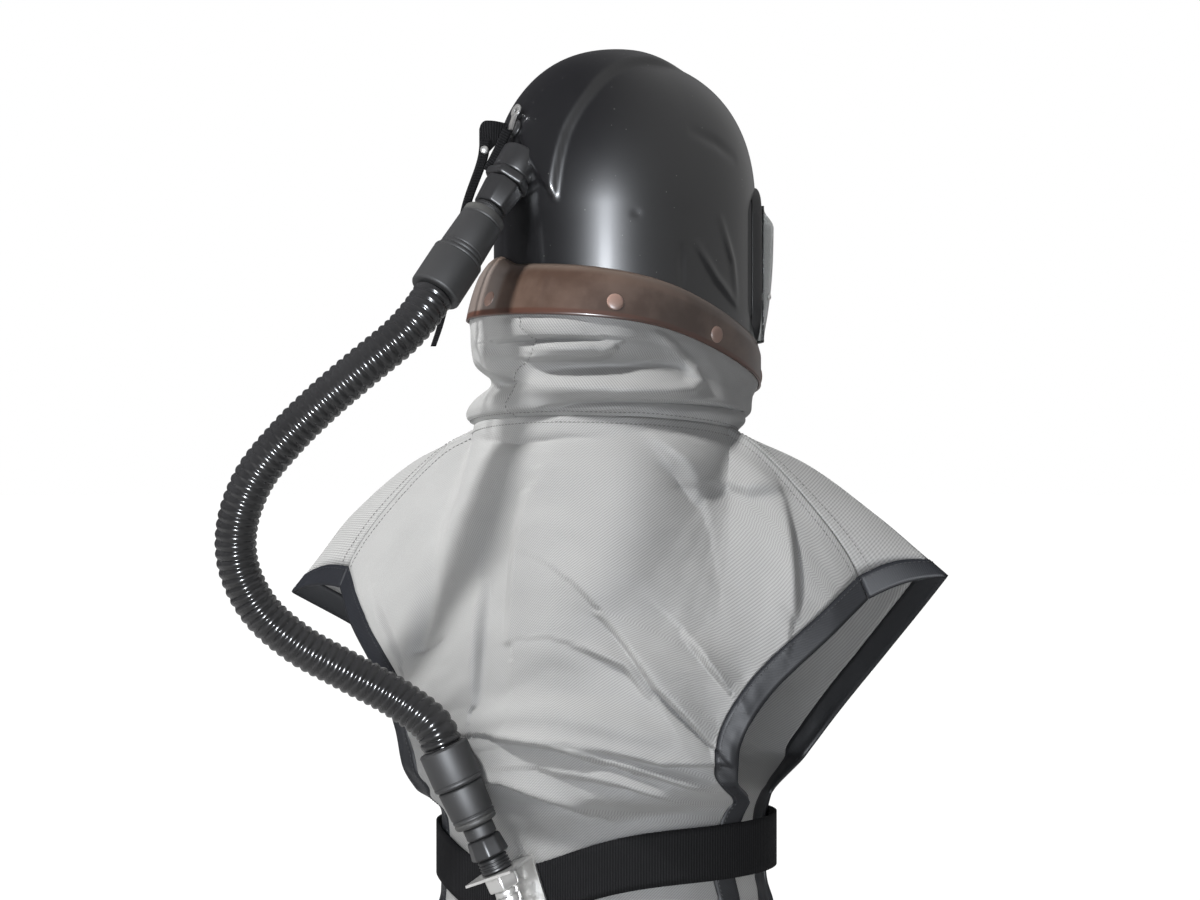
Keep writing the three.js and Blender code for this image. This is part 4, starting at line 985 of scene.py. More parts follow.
def heads(name, points_mm, outs, radius_mm, height_mm, material):
    piece = mesh_object(name, points_mm, [], material)
    attribute = piece.data.attributes.new("out", "FLOAT_VECTOR", "POINT")
    attribute.data.foreach_set("vector", np.asarray(outs, np.float32).ravel())
    run_tree(piece, HEADS, {"Radius": radius_mm * MM, "Height": height_mm * MM, "Material": material})
    piece.data.shade_smooth()
    return piece


# %% [markdown]
# Two screws hold the lens at its sides. They sit on the lens's own front face, along its normal.

# %% Lens screws
VISOR_SCREW = Sizes(radius=3.6, height=2.2, across=0.93, down=0.66)
lens_front = VISOR.frame_front + LENS.gap + LENS.wall


def outward(surface, u, v, step=0.004):
    """The unit normal of a surface of (u, v) at one place, along du x dv."""
    du = surface(u + step, v) - surface(u - step, v)
    dv = surface(u, v + step) - surface(u, v - step)
    return unit(np.cross(du, dv))


def lens_face(u, v):
    return head_turned(lens_point(np.array(u), np.array(v), lens_front))


screw_spots = [lens_face(side * VISOR_SCREW.across, VISOR_SCREW.down) for side in (-1, 1)]
screw_outs = [-outward(lens_face, side * VISOR_SCREW.across, VISOR_SCREW.down) for side in (-1, 1)]
screws = heads(
    "lens_screws", screw_spots, screw_outs, VISOR_SCREW.radius, VISOR_SCREW.height, BRIGHT_METAL
)
dress(screws, "steel", "visor_screw_left", "visor_screw_right")

# %% [markdown]
# The clamp band is smoky rubber that lies on the shell at its top edge and flares out over the cloth at the
# nape. It is a ring of wall thickness with a lapped joint.

# %% Clamp band
BAND = Sizes(
    height=41, height_back=6, wall=2.4, stand_off=2.9, flare=23, flare_power=0.65, flare_start=0.1
)
BAND_GRID = Sizes(around=480, rows=22)
UNDER_BAND = Sizes(start=0.25, share=0.2)
LAP = Sizes(angles=(182.5, 199.5), width=1.3, height=0.9, end_power=0.5)
NAPE = Sizes(end=184, fade=16, start=138, start_fade=14, lift=10, swell=1.6)


def band_flare(angle):
    return BAND.flare * smooth((-np.cos(angle) - BAND.flare_start) / (1 - BAND.flare_start))


def band_point(angle, down, inward):
    stand = mix(GAP, BAND.stand_off, np.clip(down / UNDER_BAND.start, 0, 1))
    flare = band_flare(angle) * down ** BAND.flare_power
    radius = plan_radius(angle) + stand + BAND.wall / 2 - inward + flare
    height = BAND.height - BAND.height_back * np.cos(angle)
    return on_plan(angle, radius, band_top(angle) - height * down)


def band_surface(angle, down):
    """The band with its lapped joint and the higher, fuller nape part; its lower edge stays."""
    point = band_point(angle, down, 0)
    degrees = np.degrees(angle)
    nape = smooth((NAPE.end - degrees) / NAPE.fade) * smooth((degrees - NAPE.start) / NAPE.start_fade)
    point[..., 2] += NAPE.lift * nape * (1 - down) ** 2
    swell = NAPE.swell * nape * np.sin(np.pi * down)
    ends = np.sin(np.pi * np.clip(down, 0, 1)) ** LAP.end_power
    for joint in LAP.angles:
        swell = swell + LAP.height * bell((degrees - joint) / LAP.width) * ends
    return point + swell[..., None] * on_plan(angle, 1.0, 0.0)


band_angle = full_turn(BAND_GRID.around)
band_down = np.linspace(0, 1, BAND_GRID.rows)[:, None]
band_points = head_turned(band_surface(band_angle, band_down))
band = grid_object("clamp_band", band_points, BROWN_RUBBER, closed_across=True)
dress(thicken(band, BAND.wall), "brown_rubber", "rim_band")

# %% [markdown]
# Rubber studs button the band to the rim, evenly round it. They are heads on points of the band's outer face.

# %% Band studs
STUD = Sizes(radius=8, height=2.2, down=0.66, count=7, first=-133, step=51.4)


def band_face(u, v):
    return head_turned(band_point(np.array(u), np.array(v), -BAND.wall / 2))


stud_angles = np.radians(STUD.first + STUD.step * np.arange(STUD.count))
stud_spots = [band_face(angle, STUD.down) for angle in stud_angles]
stud_outs = [-outward(band_face, angle, STUD.down) for angle in stud_angles]
studs = heads("band_studs", stud_spots, stud_outs, STUD.radius, STUD.height, STUD_RUBBER)
dress(studs, "brown_rubber", *[f"band_stud_{k + 1}" for k in range(STUD.count)])

# %% [markdown]
# The couplings are turned pieces: a profile of radius against length, spun round an axis. The nuts have flats
# for a spanner, so the radius may also change with the angle round the axis.

# %% Turned pieces
SIDES = 96
TURNED_BEVEL = 0.5
SOFT_END = Sizes(along=0.4, inward=0.35)


def frame_along(axis):
    axis = unit(axis)
    side = unit(np.cross(axis, (0, 0, 1.0)))
    return side, np.cross(axis, side), axis


def spun(name, start, axis, profile, material, shape=None):
    """profile is a closed list of (along, radius); shape(turn, along, radius) may change the radius."""
    side, other, axis = frame_along(axis)
    turn = full_turn(SIDES)
    loops = []
    for along, radius in profile:
        radii = np.full(SIDES, float(radius))
        if shape:
            radii = shape(turn, along, radii)
        ring = np.outer(radii * np.cos(turn), side) + np.outer(radii * np.sin(turn), other)
        loops.append(ring + axis * along + np.asarray(start))
    piece = grid_object(name, np.array(loops), material, closed_down=True, closed_across=True)
    return soften(piece, TURNED_BEVEL)


def tube_profile(start, end, radius, end_radius, bore, soft=2.0, rings=()):
    """An outline with soft ends; rings are (along, depth, width) grooves."""
    along_end, inward = soft * SOFT_END.along, soft * SOFT_END.inward
    outer = [(start, radius - soft), (start + along_end, radius - inward), (start + soft, radius)]
    for along, depth, width in rings:
        level = mix(radius, end_radius, (along - start) / (end - start))
        outer += [(along - width / 2, level), (along - width / 4, level - depth)]
        outer += [(along + width / 4, level - depth), (along + width / 2, level)]
    outer += [(end - soft, end_radius), (end - along_end, end_radius - inward), (end, end_radius - soft)]
    return outer + [(end, bore), (start, bore)]


# %% Flats for a spanner
FLAT_EASE = 1.02


def flats(count):
    """A shape with flat sides, as a spanner needs them."""
    half = np.pi / count

    def shape(turn, along, radii):
        sector = np.mod(turn, 2 * half) - half
        return np.minimum(radii, radii.max() * np.cos(half) / np.cos(sector) * FLAT_EASE)

    return shape


hexagon = flats(6)
octagon = flats(8)
print("flats: 6 and 8")

# %% [markdown]
# Each end of the hose has a stack of turned pieces on one axis: threaded parts, nuts, and the sleeve and cuff
# that grip the hose. The inlet stands on the back of the shell, the outlet on the bracket at the belt.

# %% Inlet and outlet couplings
BORE = 12
INLET = Sizes(start=(0, 139.5, -7), down_angle=np.radians(52))
inlet_axis = head_turned((0, np.cos(INLET.down_angle), -np.sin(INLET.down_angle)))
inlet_start = head_turned(INLET.start)
INLET_STACK = [
    # node, from, to, radius, radius at the end, flats, grooves as (along, depth, width), material
    ("inlet_boss", -30, -4, 21.5, 20, None, (), BLACK_PLASTIC),
    ("inlet_lock_nut", -3.7, 6, 22.5, 22.5, hexagon, (), BLACK_PLASTIC),
    ("inlet_gland_nut", 6.3, 35, 19.5, 17, octagon, (), BLACK_PLASTIC),
    ("inlet_neck", 35.3, 43, 15, 15, None, ((38, 1, 1.4), (40, 1, 1.4)), BLACK_RUBBER),
    ("inlet_sleeve", 43.3, 93, 20.5, 22, None, ((53, 0.6, 2), (88, 0.6, 1.6)), SLEEVE_RUBBER),
    ("inlet_cuff", 93.3, 138, 24.5, 24.5, None, ((98, 0.5, 1.6),), BLACK_RUBBER),
]
OUTLET = Sizes(foot=np.array((62.9, 163, -643.5)), lean=np.array((0.381, 0.139, 0.914)))
OUTLET_STACK = [
    ("outlet_body", 0.3, 15, 15, 14, None, ((5, 1, 2), (8, 1, 2), (11, 1, 2)), BLACK_PLASTIC),
    ("outlet_gland_nut", 15.3, 34, 18, 16, octagon, (), BLACK_PLASTIC),
    ("outlet_neck", 34.3, 47, 14.5, 14.5, None, (), BLACK_RUBBER),
    ("outlet_sleeve", 47.3, 86, 20, 21.5, None, ((53, 0.8, 2), (57, 0.8, 2)), SLEEVE_RUBBER),
    ("outlet_cuff", 86.3, 124, 23.5, 23.5, None, ((91, 0.5, 1.6),), BLACK_RUBBER),
]
COUPLINGS = [
    # stack, start, axis
    (INLET_STACK, inlet_start, inlet_axis),
    (OUTLET_STACK, OUTLET.foot, OUTLET.lean),
]
for stack, start, axis in COUPLINGS:
    for node, begin, end, radius, end_radius, shape, rings, material in stack:
        profile = tube_profile(begin, end, radius, end_radius, BORE, rings=rings)
        piece = spun(node + "_turned", start, axis, profile, material, shape)
        slot = "black_plastic" if material is BLACK_PLASTIC else "black_rubber"
        dress(piece, slot, node)

# %% [markdown]
# The hose is corrugated rubber. Its centreline is the same list of points as in the solid, in metres, made
# into one smooth curve that leaves each cuff along the cuff's axis.

# %% Hose centreline
HOSE_RADIUS = 0.0192
HOSE_ROUTE = [
    (0.133, 0.219, -0.154), (0.165, 0.237, -0.185), (0.200, 0.247, -0.216), (0.234, 0.253, -0.249),
    (0.264, 0.256, -0.285), (0.282, 0.254, -0.327), (0.284, 0.248, -0.364), (0.269, 0.237, -0.403),
    (0.238, 0.222, -0.435), (0.196, 0.204, -0.461), (0.152, 0.187, -0.487),
]
UPPER_END = 138.3
LOWER_END = 124.3
HOSE_STEPS = 24


def catmull_rom(points, steps):
    """Points along a centripetal Catmull-Rom curve through a list of points."""
    points = np.asarray(points, float)
    ends = [2 * points[0] - points[1], *points, 2 * points[-1] - points[-2]]
    line = []
    for p0, p1, p2, p3 in zip(ends, ends[1:], ends[2:], ends[3:]):
        t0, t1 = 0.0, np.linalg.norm(p1 - p0) ** 0.5
        t2 = t1 + np.linalg.norm(p2 - p1) ** 0.5
        t3 = t2 + np.linalg.norm(p3 - p2) ** 0.5
        t = np.linspace(t1, t2, steps, endpoint=False)[:, None]
        a1 = mix(p0, p1, (t - t0) / (t1 - t0))
        a2 = mix(p1, p2, (t - t1) / (t2 - t1))
        a3 = mix(p2, p3, (t - t2) / (t3 - t2))
        b1 = mix(a1, a2, (t - t0) / (t2 - t0))
        b2 = mix(a2, a3, (t - t1) / (t3 - t1))
        line.append(mix(b1, b2, (t - t1) / (t2 - t1)))
    return np.concatenate(line + [points[-1:]])


def along_axis(start_mm, axis, along_mm):
    return (np.asarray(start_mm) + unit(axis) * along_mm) * MM


hose_points = [
    along_axis(inlet_start, inlet_axis, UPPER_END),
    along_axis(inlet_start, inlet_axis, UPPER_END + HOSE_RADIUS / MM),
    *HOSE_ROUTE,
    along_axis(OUTLET.foot, OUTLET.lean, LOWER_END + HOSE_RADIUS / MM),
    along_axis(OUTLET.foot, OUTLET.lean, LOWER_END),
]
hose_line = catmull_rom(hose_points, HOSE_STEPS)
hose_length = float(lengths_along(hose_line, 0)[-1])
print("hose length", round(hose_length, 4), "m")

# %% [markdown]
# A Geometry Nodes tree sweeps a finely toothed circle along the hose's line and draws the radius in between
# every two ribs. The teeth are the fine lines that run along a moulded hose.

# %% Hose ribs by nodes
RIB = Sizes(pitch=0.0081, depth=0.0022, steps=8, sides=112, notch=0.011, crest_power=0.8)


def hose_tree():
    tree, given = begin_tree("corrugated hose", "Radius", "Rib Pitch", "Rib Depth", "Notch")
    step = calc(tree, "DIVIDE", given["Rib Pitch"], float(RIB.steps))
    fine = add(tree, "GeometryNodeResampleCurve", {"mode": "LENGTH"}, Curve=given["Geometry"], Length=step)
    place = add(tree, "GeometryNodeSplineParameter")
    turns = calc(tree, "DIVIDE", place.outputs["Length"], given["Rib Pitch"])
    wave = calc(tree, "ABSOLUTE", calc(tree, "SINE", calc(tree, "MULTIPLY", turns, np.pi)))
    crest = calc(tree, "POWER", wave, RIB.crest_power)
    groove = calc(tree, "MULTIPLY", calc(tree, "SUBTRACT", 1.0, crest), given["Rib Depth"])
    radius = calc(tree, "SUBTRACT", given["Radius"], groove)
    circle = add(tree, "GeometryNodeCurvePrimitiveCircle", Resolution=RIB.sides, Radius=1.0)
    odd = calc(tree, "MODULO", add(tree, "GeometryNodeInputIndex").outputs[0], 2.0)
    inward = calc(tree, "MULTIPLY", odd, given["Notch"])
    left = calc(tree, "SUBTRACT", 1.0, inward)
    spot = add(tree, "GeometryNodeInputPosition").outputs[0]
    drawn = add(tree, "ShaderNodeVectorMath", {"operation": "SCALE"}, Vector=spot, Scale=left)
    toothed = add(
        tree, "GeometryNodeSetPosition", Geometry=circle.outputs["Curve"], Position=drawn.outputs[0]
    )
    tube = add(
        tree, "GeometryNodeCurveToMesh", Curve=fine.outputs[0], Profile_Curve=toothed.outputs[0],
        Scale=radius, Fill_Caps=True,
    )
    rounded = add(tree, "GeometryNodeSetShadeSmooth", Geometry=tube.outputs[0], Shade_Smooth=True)
    return end_tree(tree, rounded.outputs[0], given["Material"])


def line_object(name, points):
    curve = bpy.data.curves.new(name, "CURVE")
    curve.dimensions = "3D"
    spline = curve.splines.new("POLY")
    spline.points.add(len(points) - 1)
    weighted = np.column_stack([points, np.ones(len(points))])
    spline.points.foreach_set("co", weighted.astype(np.float32).ravel())
    piece = bpy.data.objects.new(name, curve)
    bpy.context.scene.collection.objects.link(piece)
    return piece


hose = run_tree(
    line_object("breathing_hose", hose_line),
    hose_tree(),
    {
        "Radius": HOSE_RADIUS, "Rib Pitch": RIB.pitch, "Rib Depth": RIB.depth, "Notch": RIB.notch,
        "Material": HOSE_RUBBER,
    },
)
dress(hose, "hose", "air_hose")

# %% [markdown]
# Sewing. Seams and hems carry rows of stitches. One Geometry Nodes tree walks along a line and lays a short
# bead of thread at every step; the same tree serves all rows, because only the line differs.

# %% Stitches by nodes
STITCH = Sizes(spacing=4.4, length=3.0, thickness=0.9, proud=0.25)
BEAD = Sizes(segments=6, rings=4)


def stitch_tree():
    tree, given = begin_tree("stitches along a line", "Spacing", "Length", "Thickness")
    spots = add(
        tree, "GeometryNodeCurveToPoints", {"mode": "LENGTH"}, Curve=given["Geometry"],
        Length=given["Spacing"],
    )
    bead = add(tree, "GeometryNodeMeshUVSphere", Segments=BEAD.segments, Rings=BEAD.rings, Radius=0.5)
    thick = given["Thickness"]
    size = add(tree, "ShaderNodeCombineXYZ", X=thick, Y=thick, Z=given["Length"])
    beads = add(
        tree, "GeometryNodeInstanceOnPoints", Points=spots.outputs["Points"], Instance=bead.outputs["Mesh"],
        Rotation=spots.outputs["Rotation"], Scale=size.outputs[0],
    )
    return end_tree(tree, beads.outputs[0], given["Material"])


STITCHES = stitch_tree()


def stitches(name, line_mm, material):
    values = {
        "Spacing": STITCH.spacing * MM, "Length": STITCH.length * MM, "Thickness": STITCH.thickness * MM,
        "Material": material,
    }
    row = run_tree(line_object(name, line_mm * MM), STITCHES, values)
    row.data.shade_smooth()
    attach(row, "root")
    print(name, "stitches:", len(row.data.polygons) // (BEAD.segments * BEAD.rings))
    return row


# %% [markdown]
# Cloth pieces need two more helpers: one gives the ovals of neck and waist, and one lifts a row of stitches
# onto the outer face of the cloth.

# %% Cloth helpers
CLOTH = 2.0
NECK_AXIS = np.array((11.0, 19.0, 0.0))


def on_oval(angle, oval, z):
    """A point of an oval round the neck's axis."""
    return NECK_AXIS + stacked(oval.half_width * np.sin(angle), -oval.half_depth * np.cos(angle), z)


def above(points, distance):
    """The same grid of cloth points moved outward, away from the neck's axis."""
    normal = unit(np.cross(np.gradient(points, axis=1), np.gradient(points, axis=0)))
    outside = ((points - NECK_AXIS) * (1, 1, 0) * normal).sum(axis=-1, keepdims=True)
    return points + normal * np.sign(outside) * distance


# %% [markdown]
# The hood is a tube of twill from under the band to the neck seam. It stands loosely round the neck, so it
# crumples into deep folds at the back, and a sewn seam runs down beside the middle of it.

# %% Hood folds
HOOD_FOLD_SCALE = (2.0, 110.0)
HOOD_SEAM = (
    # angle, along
    (162, 0.0), (163, 0.12), (168, 0.233), (167, 0.39), (160, 0.54), (158, 0.68), (156, 0.875), (156, 1.0),
)
HOOD_FOLDS = [
    # points as (angle, along) from the chest, left positive; height, width in mm, profile
    (((85, 0.58), (138, 0.62)), -20, 14, roll),
    (((80, 0.88), (132, 0.90)), 8, 13, roll),
    (((134, 0.20), (148, 0.47)), 6, 9, roll),
    (((157, 0.63), (148, 0.56), (137, 0.475)), 8, 12, ledge),
    (((139, 0.65), (158, 0.685)), -16, 9, roll),
    (((136, 0.885), (173, 0.93)), 8, 11, roll),
    (((191, 0.19), (162, 0.215), (150, 0.24)), 10, 16, ledge),
    (((150, 0.27), (162, 0.245), (191, 0.22)), -10, 7, crease),
    (((166, 0.34), (193, 0.31)), 6, 7, roll),
    (((197, 0.30), (192, 0.385), (164, 0.42)), 10, 13, ledge),
    (((168, 0.53), (200, 0.47), (226, 0.36)), -11, 12, roll),
    (((164, 0.72), (200, 0.72), (222, 0.64)), 9, 12, roll),
    (
        ((216, 0.10), (226, 0.25), (234, 0.38), (237, 0.50), (232, 0.62), (220, 0.70), (204, 0.75)),
        6, 7, roll,
    ),
    (((272, 0.67), (245, 0.74), (211, 0.80), (184, 0.825), (176, 0.88)), 14, 22, ledge),
    (((176, 0.90), (184, 0.85), (211, 0.825), (245, 0.765), (272, 0.69)), -10, 7, crease),
    (((177, 0.985), (194, 0.93), (215, 0.88)), 5, 6, roll),
    (((228, 0.88), (292, 0.80)), 8, 13, roll),
    (((285, 0.50), (350, 0.62)), 8, 15, roll),
    (((10, 0.40), (70, 0.60)), 8, 15, roll),
    (((156, 0.96), (157, 0.80), (158, 0.66), (162, 0.50)), 7, 16, ledge),
    (HOOD_SEAM, -1.8, 3, crease),
]
HOOD_WRINKLE = Sizes(size=24, height=1.3)
print("hood folds:", len(HOOD_FOLDS))

# %% [markdown]
# The hood's surface runs straight from the band's lower edge to the oval of the neck seam. The folds push it
# in or out, and they fade out at both ends, where the cloth is held.

# %% Hood surface
NECK_SEAM = Sizes(half_width=128, half_depth=105, back=-226, front=-250)
HOOD_HELD = Sizes(top=0.1, foot=0.07)


def neck_seam_z(forward):
    return mix(NECK_SEAM.back, NECK_SEAM.front, (1 + forward) / 2)


def neck_seam_point(angle):
    return on_oval(angle, NECK_SEAM, neck_seam_z(np.cos(angle)))


def hood_top_point(angle, down):
    local = angle - HEAD_TURN
    slant = np.hypot(1, band_flare(local) / BAND.height)
    inward = (BAND.wall / 2 + CLOTH / 2 + 2 * GAP) * slant
    return head_turned(band_point(local, down, inward))


def hood_point(angle, v):
    """v up to the share under the band, then down to the seam at 1."""
    upper = hood_top_point(angle, mix(UNDER_BAND.start, 1, np.clip(v / UNDER_BAND.share, 0, 1)))
    along = np.clip((v - UNDER_BAND.share) / (1 - UNDER_BAND.share), 0, 1)
    lower = mix(hood_top_point(angle, 1.0), neck_seam_point(angle), along[..., None])
    room = smooth(along / HOOD_HELD.top) * smooth((1 - along) / HOOD_HELD.foot)
    px, py = np.degrees(angle) * HOOD_FOLD_SCALE[0], along * HOOD_FOLD_SCALE[1]
    push = fold_height(px, py, HOOD_FOLDS, HOOD_FOLD_SCALE)
    push = room * (push + wrinkles(px, py, HOOD_WRINKLE.size, HOOD_WRINKLE.height))
    lower = lower + push[..., None] * on_plan(angle, 1.0, 0.0)
    return np.where((v <= UNDER_BAND.share)[..., None], upper, lower)


# %% Hood mesh
HOOD_GRID = Sizes(around=400, rows=112)
hood_angle = full_turn(HOOD_GRID.around)[None, :]
hood_v = np.repeat(np.linspace(0, 1, HOOD_GRID.rows)[:, None], HOOD_GRID.around, axis=1)
hood_points = hood_point(hood_angle, hood_v)
hood = grid_object("hood_cloth", hood_points, TWILL, closed_across=True)
dress(thicken(hood, CLOTH), "cloth", "neck_hood")

# %% [markdown]
# Two rows of stitches: one round the neck just above the seam, and one down the hood's own seam.

# %% Hood stitches
NECK_STITCH_ROW = -5
SEAM_SAMPLES = 60
on_hood = above(hood_points, CLOTH / 2 + STITCH.proud)
neck_row = stitches("stitches_neck", on_hood[NECK_STITCH_ROW], THREAD)
seam_at = np.array(HOOD_SEAM)
seam_part = np.linspace(0, 1, SEAM_SAMPLES)
seam_keys = np.linspace(0, 1, len(seam_at))
seam_column = np.interp(seam_part, seam_keys, seam_at[:, 0]) / 360 * HOOD_GRID.around
seam_v = mix(UNDER_BAND.share, 1, np.interp(seam_part, seam_keys, seam_at[:, 1]))
seam_rows = np.round(seam_v * (HOOD_GRID.rows - 1)).astype(int)
seam_columns = np.round(seam_column).astype(int)
hood_row = stitches("stitches_hood_seam", on_hood[seam_rows, seam_columns], THREAD)

# %% [markdown]
# The cape is two panels of twill. A table gives, for each level from the shoulder to the hem, the panel's
# middle line and its edge; smooth curves run through the rows. Places on a panel are parts: across from -1 to
# 1, the wearer's left positive, and down from 0 to 1.

# %% Cape rows
BACK_ROWS = np.array([
    # down, mid y, mid z, edge x, edge y, edge z
    (0.00, 105, -229, 267, 30, -395),
    (0.12, 118, -290, 240, 62, -428),
    (0.28, 132, -375, 194, 95, -478),
    (0.42, 139, -450, 170, 110, -522),
    (0.55, 141, -520, 164, 102, -562),
    (0.66, 131, -588, 150, 74, -602),
    (0.74, 119, -640, 145, 54, -640),
    (0.83, 126, -695, 152, 62, -690),
    (1.00, 134, -800, 162, 70, -795),
])
FRONT_ROWS = np.array([
    (0.00, -112, -270, 335, 4, -388),
    (0.24, -128, -380, 258, -66, -460),
    (0.42, -132, -480, 190, -98, -535),
    (0.62, -126, -588, 148, -78, -602),
    (0.71, -119, -640, 143, -59, -640),
    (0.81, -124, -695, 148, -68, -690),
    (1.00, -130, -800, 158, -76, -795),
])
PANEL = Sizes(
    depth_power=2.2, drop_power=1.7, even_share=0.35, spread_power=2.6, neck_share=0.44, top_reach=0.5,
    top_blur=2, fold_scale=(150, 570),
)


def through(keys, values, t):
    """A smooth value at t through a table, by cubic steps with finite slopes."""
    last = len(keys) - 1
    i = np.searchsorted(keys[1:-1], t, side="left")
    before = np.maximum(np.arange(last + 1) - 1, 0)
    after = np.minimum(np.arange(last + 1) + 1, last)
    slope = (values[after] - values[before]) / (keys[after] - keys[before])
    span = keys[i + 1] - keys[i]
    s = np.clip((t - keys[i]) / span, 0, 1)
    rise = values[i + 1] - values[i]
    a = slope[i] * span - rise
    b = rise - slope[i + 1] * span
    return values[i] + rise * s + s * (1 - s) * (a * (1 - s) + b * s)


print("cape rows:", len(BACK_ROWS), "and", len(FRONT_ROWS))

# %% [markdown]
# The upper edges. Both panels meet along the neck and out over the shoulders, where they are sewn. The front
# panel first climbs over a crest in front of that seam, so it has a second line to pass through.

# %% Shoulder lines
SHOULDER_SEAM = np.array([
    # x, y, height on the left, height on the right
    (127, 10, -236, -236), (160, 20, -256, -256), (215, 28, -312, -312), (250, 30, -358, -358),
    (267, 30, -395, -395),
])
SHOULDER_CREST = np.array([
    (133.5, -10, -245, -245), (200, -7, -268, -273), (270, -3, -323, -322), (310, 1, -372, -354),
    (335, 4, -402, -374),
])
NECK_CREST = Sizes(half_width=134, half_depth=112, side=-243, front=-270)
CREST_BULGE = 5


def upper_line(side, across, oval, neck_z, shoulder):
    """Round the neck's oval from its middle, then out along the table of a shoulder."""
    reach, sign = np.abs(across), np.sign(across)
    turn = np.minimum(1, reach / PANEL.neck_share) * np.arccos(side * shoulder[0, 1] / oval.half_depth)
    back = side * np.cos(turn)
    neck = stacked(sign * oval.half_width * np.sin(turn), oval.half_depth * back, neck_z(-back))
    keys = shoulder[:, 0]
    x = mix(keys[0], keys[-1], np.clip((reach - PANEL.neck_share) / (1 - PANEL.neck_share), 0, 1))
    y, left_z, right_z = (through(keys, shoulder[:, k], x) for k in (1, 2, 3))
    outer = stacked(sign * x, y, np.where(sign > 0, left_z, right_z))
    return np.where((reach <= PANEL.neck_share)[..., None], neck, outer)


def neck_crest_z(forward):
    return mix(NECK_CREST.side, NECK_CREST.front, forward)


def seam_line(side, across):
    return upper_line(side, across, NECK_SEAM, neck_seam_z, SHOULDER_SEAM)


def crest_line(across):
    return upper_line(-1, across, NECK_CREST, neck_crest_z, SHOULDER_CREST)


# %% [markdown]
# The panel before any folds: the rows give its general form, and near the top it is lifted so that it ends
# exactly on the shoulder line. The lift is blurred sideways as it fades downward.

# %% Cape without folds
LIFT_SAMPLES = (-0.5, -0.25, 0, 0.25, 0.5)


def row_point(rows, across, down):
    reach = np.abs(across)
    mid_y, mid_z, edge_x, edge_y, edge_z = (through(rows[:, 0], rows[:, k], down) for k in range(1, 6))
    part = mix(1 - (1 - reach) ** PANEL.spread_power, reach, PANEL.even_share)
    y = mix(mid_y, edge_y, part ** PANEL.depth_power)
    z = mix(mid_z, edge_z, part ** PANEL.drop_power)
    return stacked(edge_x * part * np.sign(across), y, z)


def top_lift(panel, across, down):
    window = PANEL.top_blur * down * (1 - np.abs(across))
    lift = 0
    for sample in LIFT_SAMPLES:
        place = np.clip(across + sample * window, -1, 1)
        top = crest_line(place) if panel.crest_share else seam_line(panel.side, place)
        lift = lift + top - row_point(panel.rows, place, np.zeros_like(place))
    return lift / len(LIFT_SAMPLES)


def panel_base(panel, across, down):
    across, down = np.broadcast_arrays(np.asarray(across, float), np.asarray(down, float))
    share = panel.crest_share
    below = np.maximum(0, (down - share) / (1 - share))
    lifted = np.clip(1 - below / PANEL.top_reach, 0, 1) ** 2
    point = row_point(panel.rows, across, below) + top_lift(panel, across, below) * lifted[..., None]
    if not share:
        return point
    t = np.clip(down / share, 0, 1)
    over = mix(seam_line(panel.side, across), crest_line(across), t[..., None])
    shoulder = smooth((np.abs(across) - PANEL.neck_share) / (1 - PANEL.neck_share))
    over[..., 2] += CREST_BULGE * shoulder * np.sin(np.pi * t)
    return np.where((down < share)[..., None], over, point)


# %% [markdown]
# The belt draws the cape in at the waist. It is an oval that rises a little on one side and dips where the
# bracket hangs on it; near its level the cloth moves onto the inside of that oval.

# %% Drawn in by the belt
BELT = Sizes(height=50, wall=3, half_width=167, half_depth=123.2, z=-634, rise=8)
BELT_DIP = Sizes(angle=160, depth=34, spread=30)
CINCH = Sizes(flat=38, fade=34, gap=1.8, widest=0.96)


def belt_z(angle):
    away = np.mod(np.degrees(angle) - BELT_DIP.angle + 540, 360) - 180
    return BELT.z - BELT.rise * np.sin(angle) - BELT_DIP.depth * bell(away / BELT_DIP.spread)


def cinch(point):
    angle = np.arctan2(point[..., 0] / BELT.half_width, -point[..., 1] / BELT.half_depth)
    away = np.abs(point[..., 2] - belt_z(angle))
    hold = 1 - smooth((away - CINCH.flat) / CINCH.fade)
    inset = BELT.wall / 2 + CLOTH / 2 + CINCH.gap
    half_width = BELT.half_width - inset
    x = np.minimum(np.abs(point[..., 0]), CINCH.widest * half_width)
    depth = (BELT.half_depth - inset) * np.sqrt(1 - (x / half_width) ** 2)
    return hold, np.sign(point[..., 1]) * depth


# %% [markdown]
# The folds of the cape, as lines on its panels: cloth pulled towards the right arm, soft valleys from the
# shoulders, and rolls bunched above the belt. The front panel isn't shown, so it gets a few plain ones.

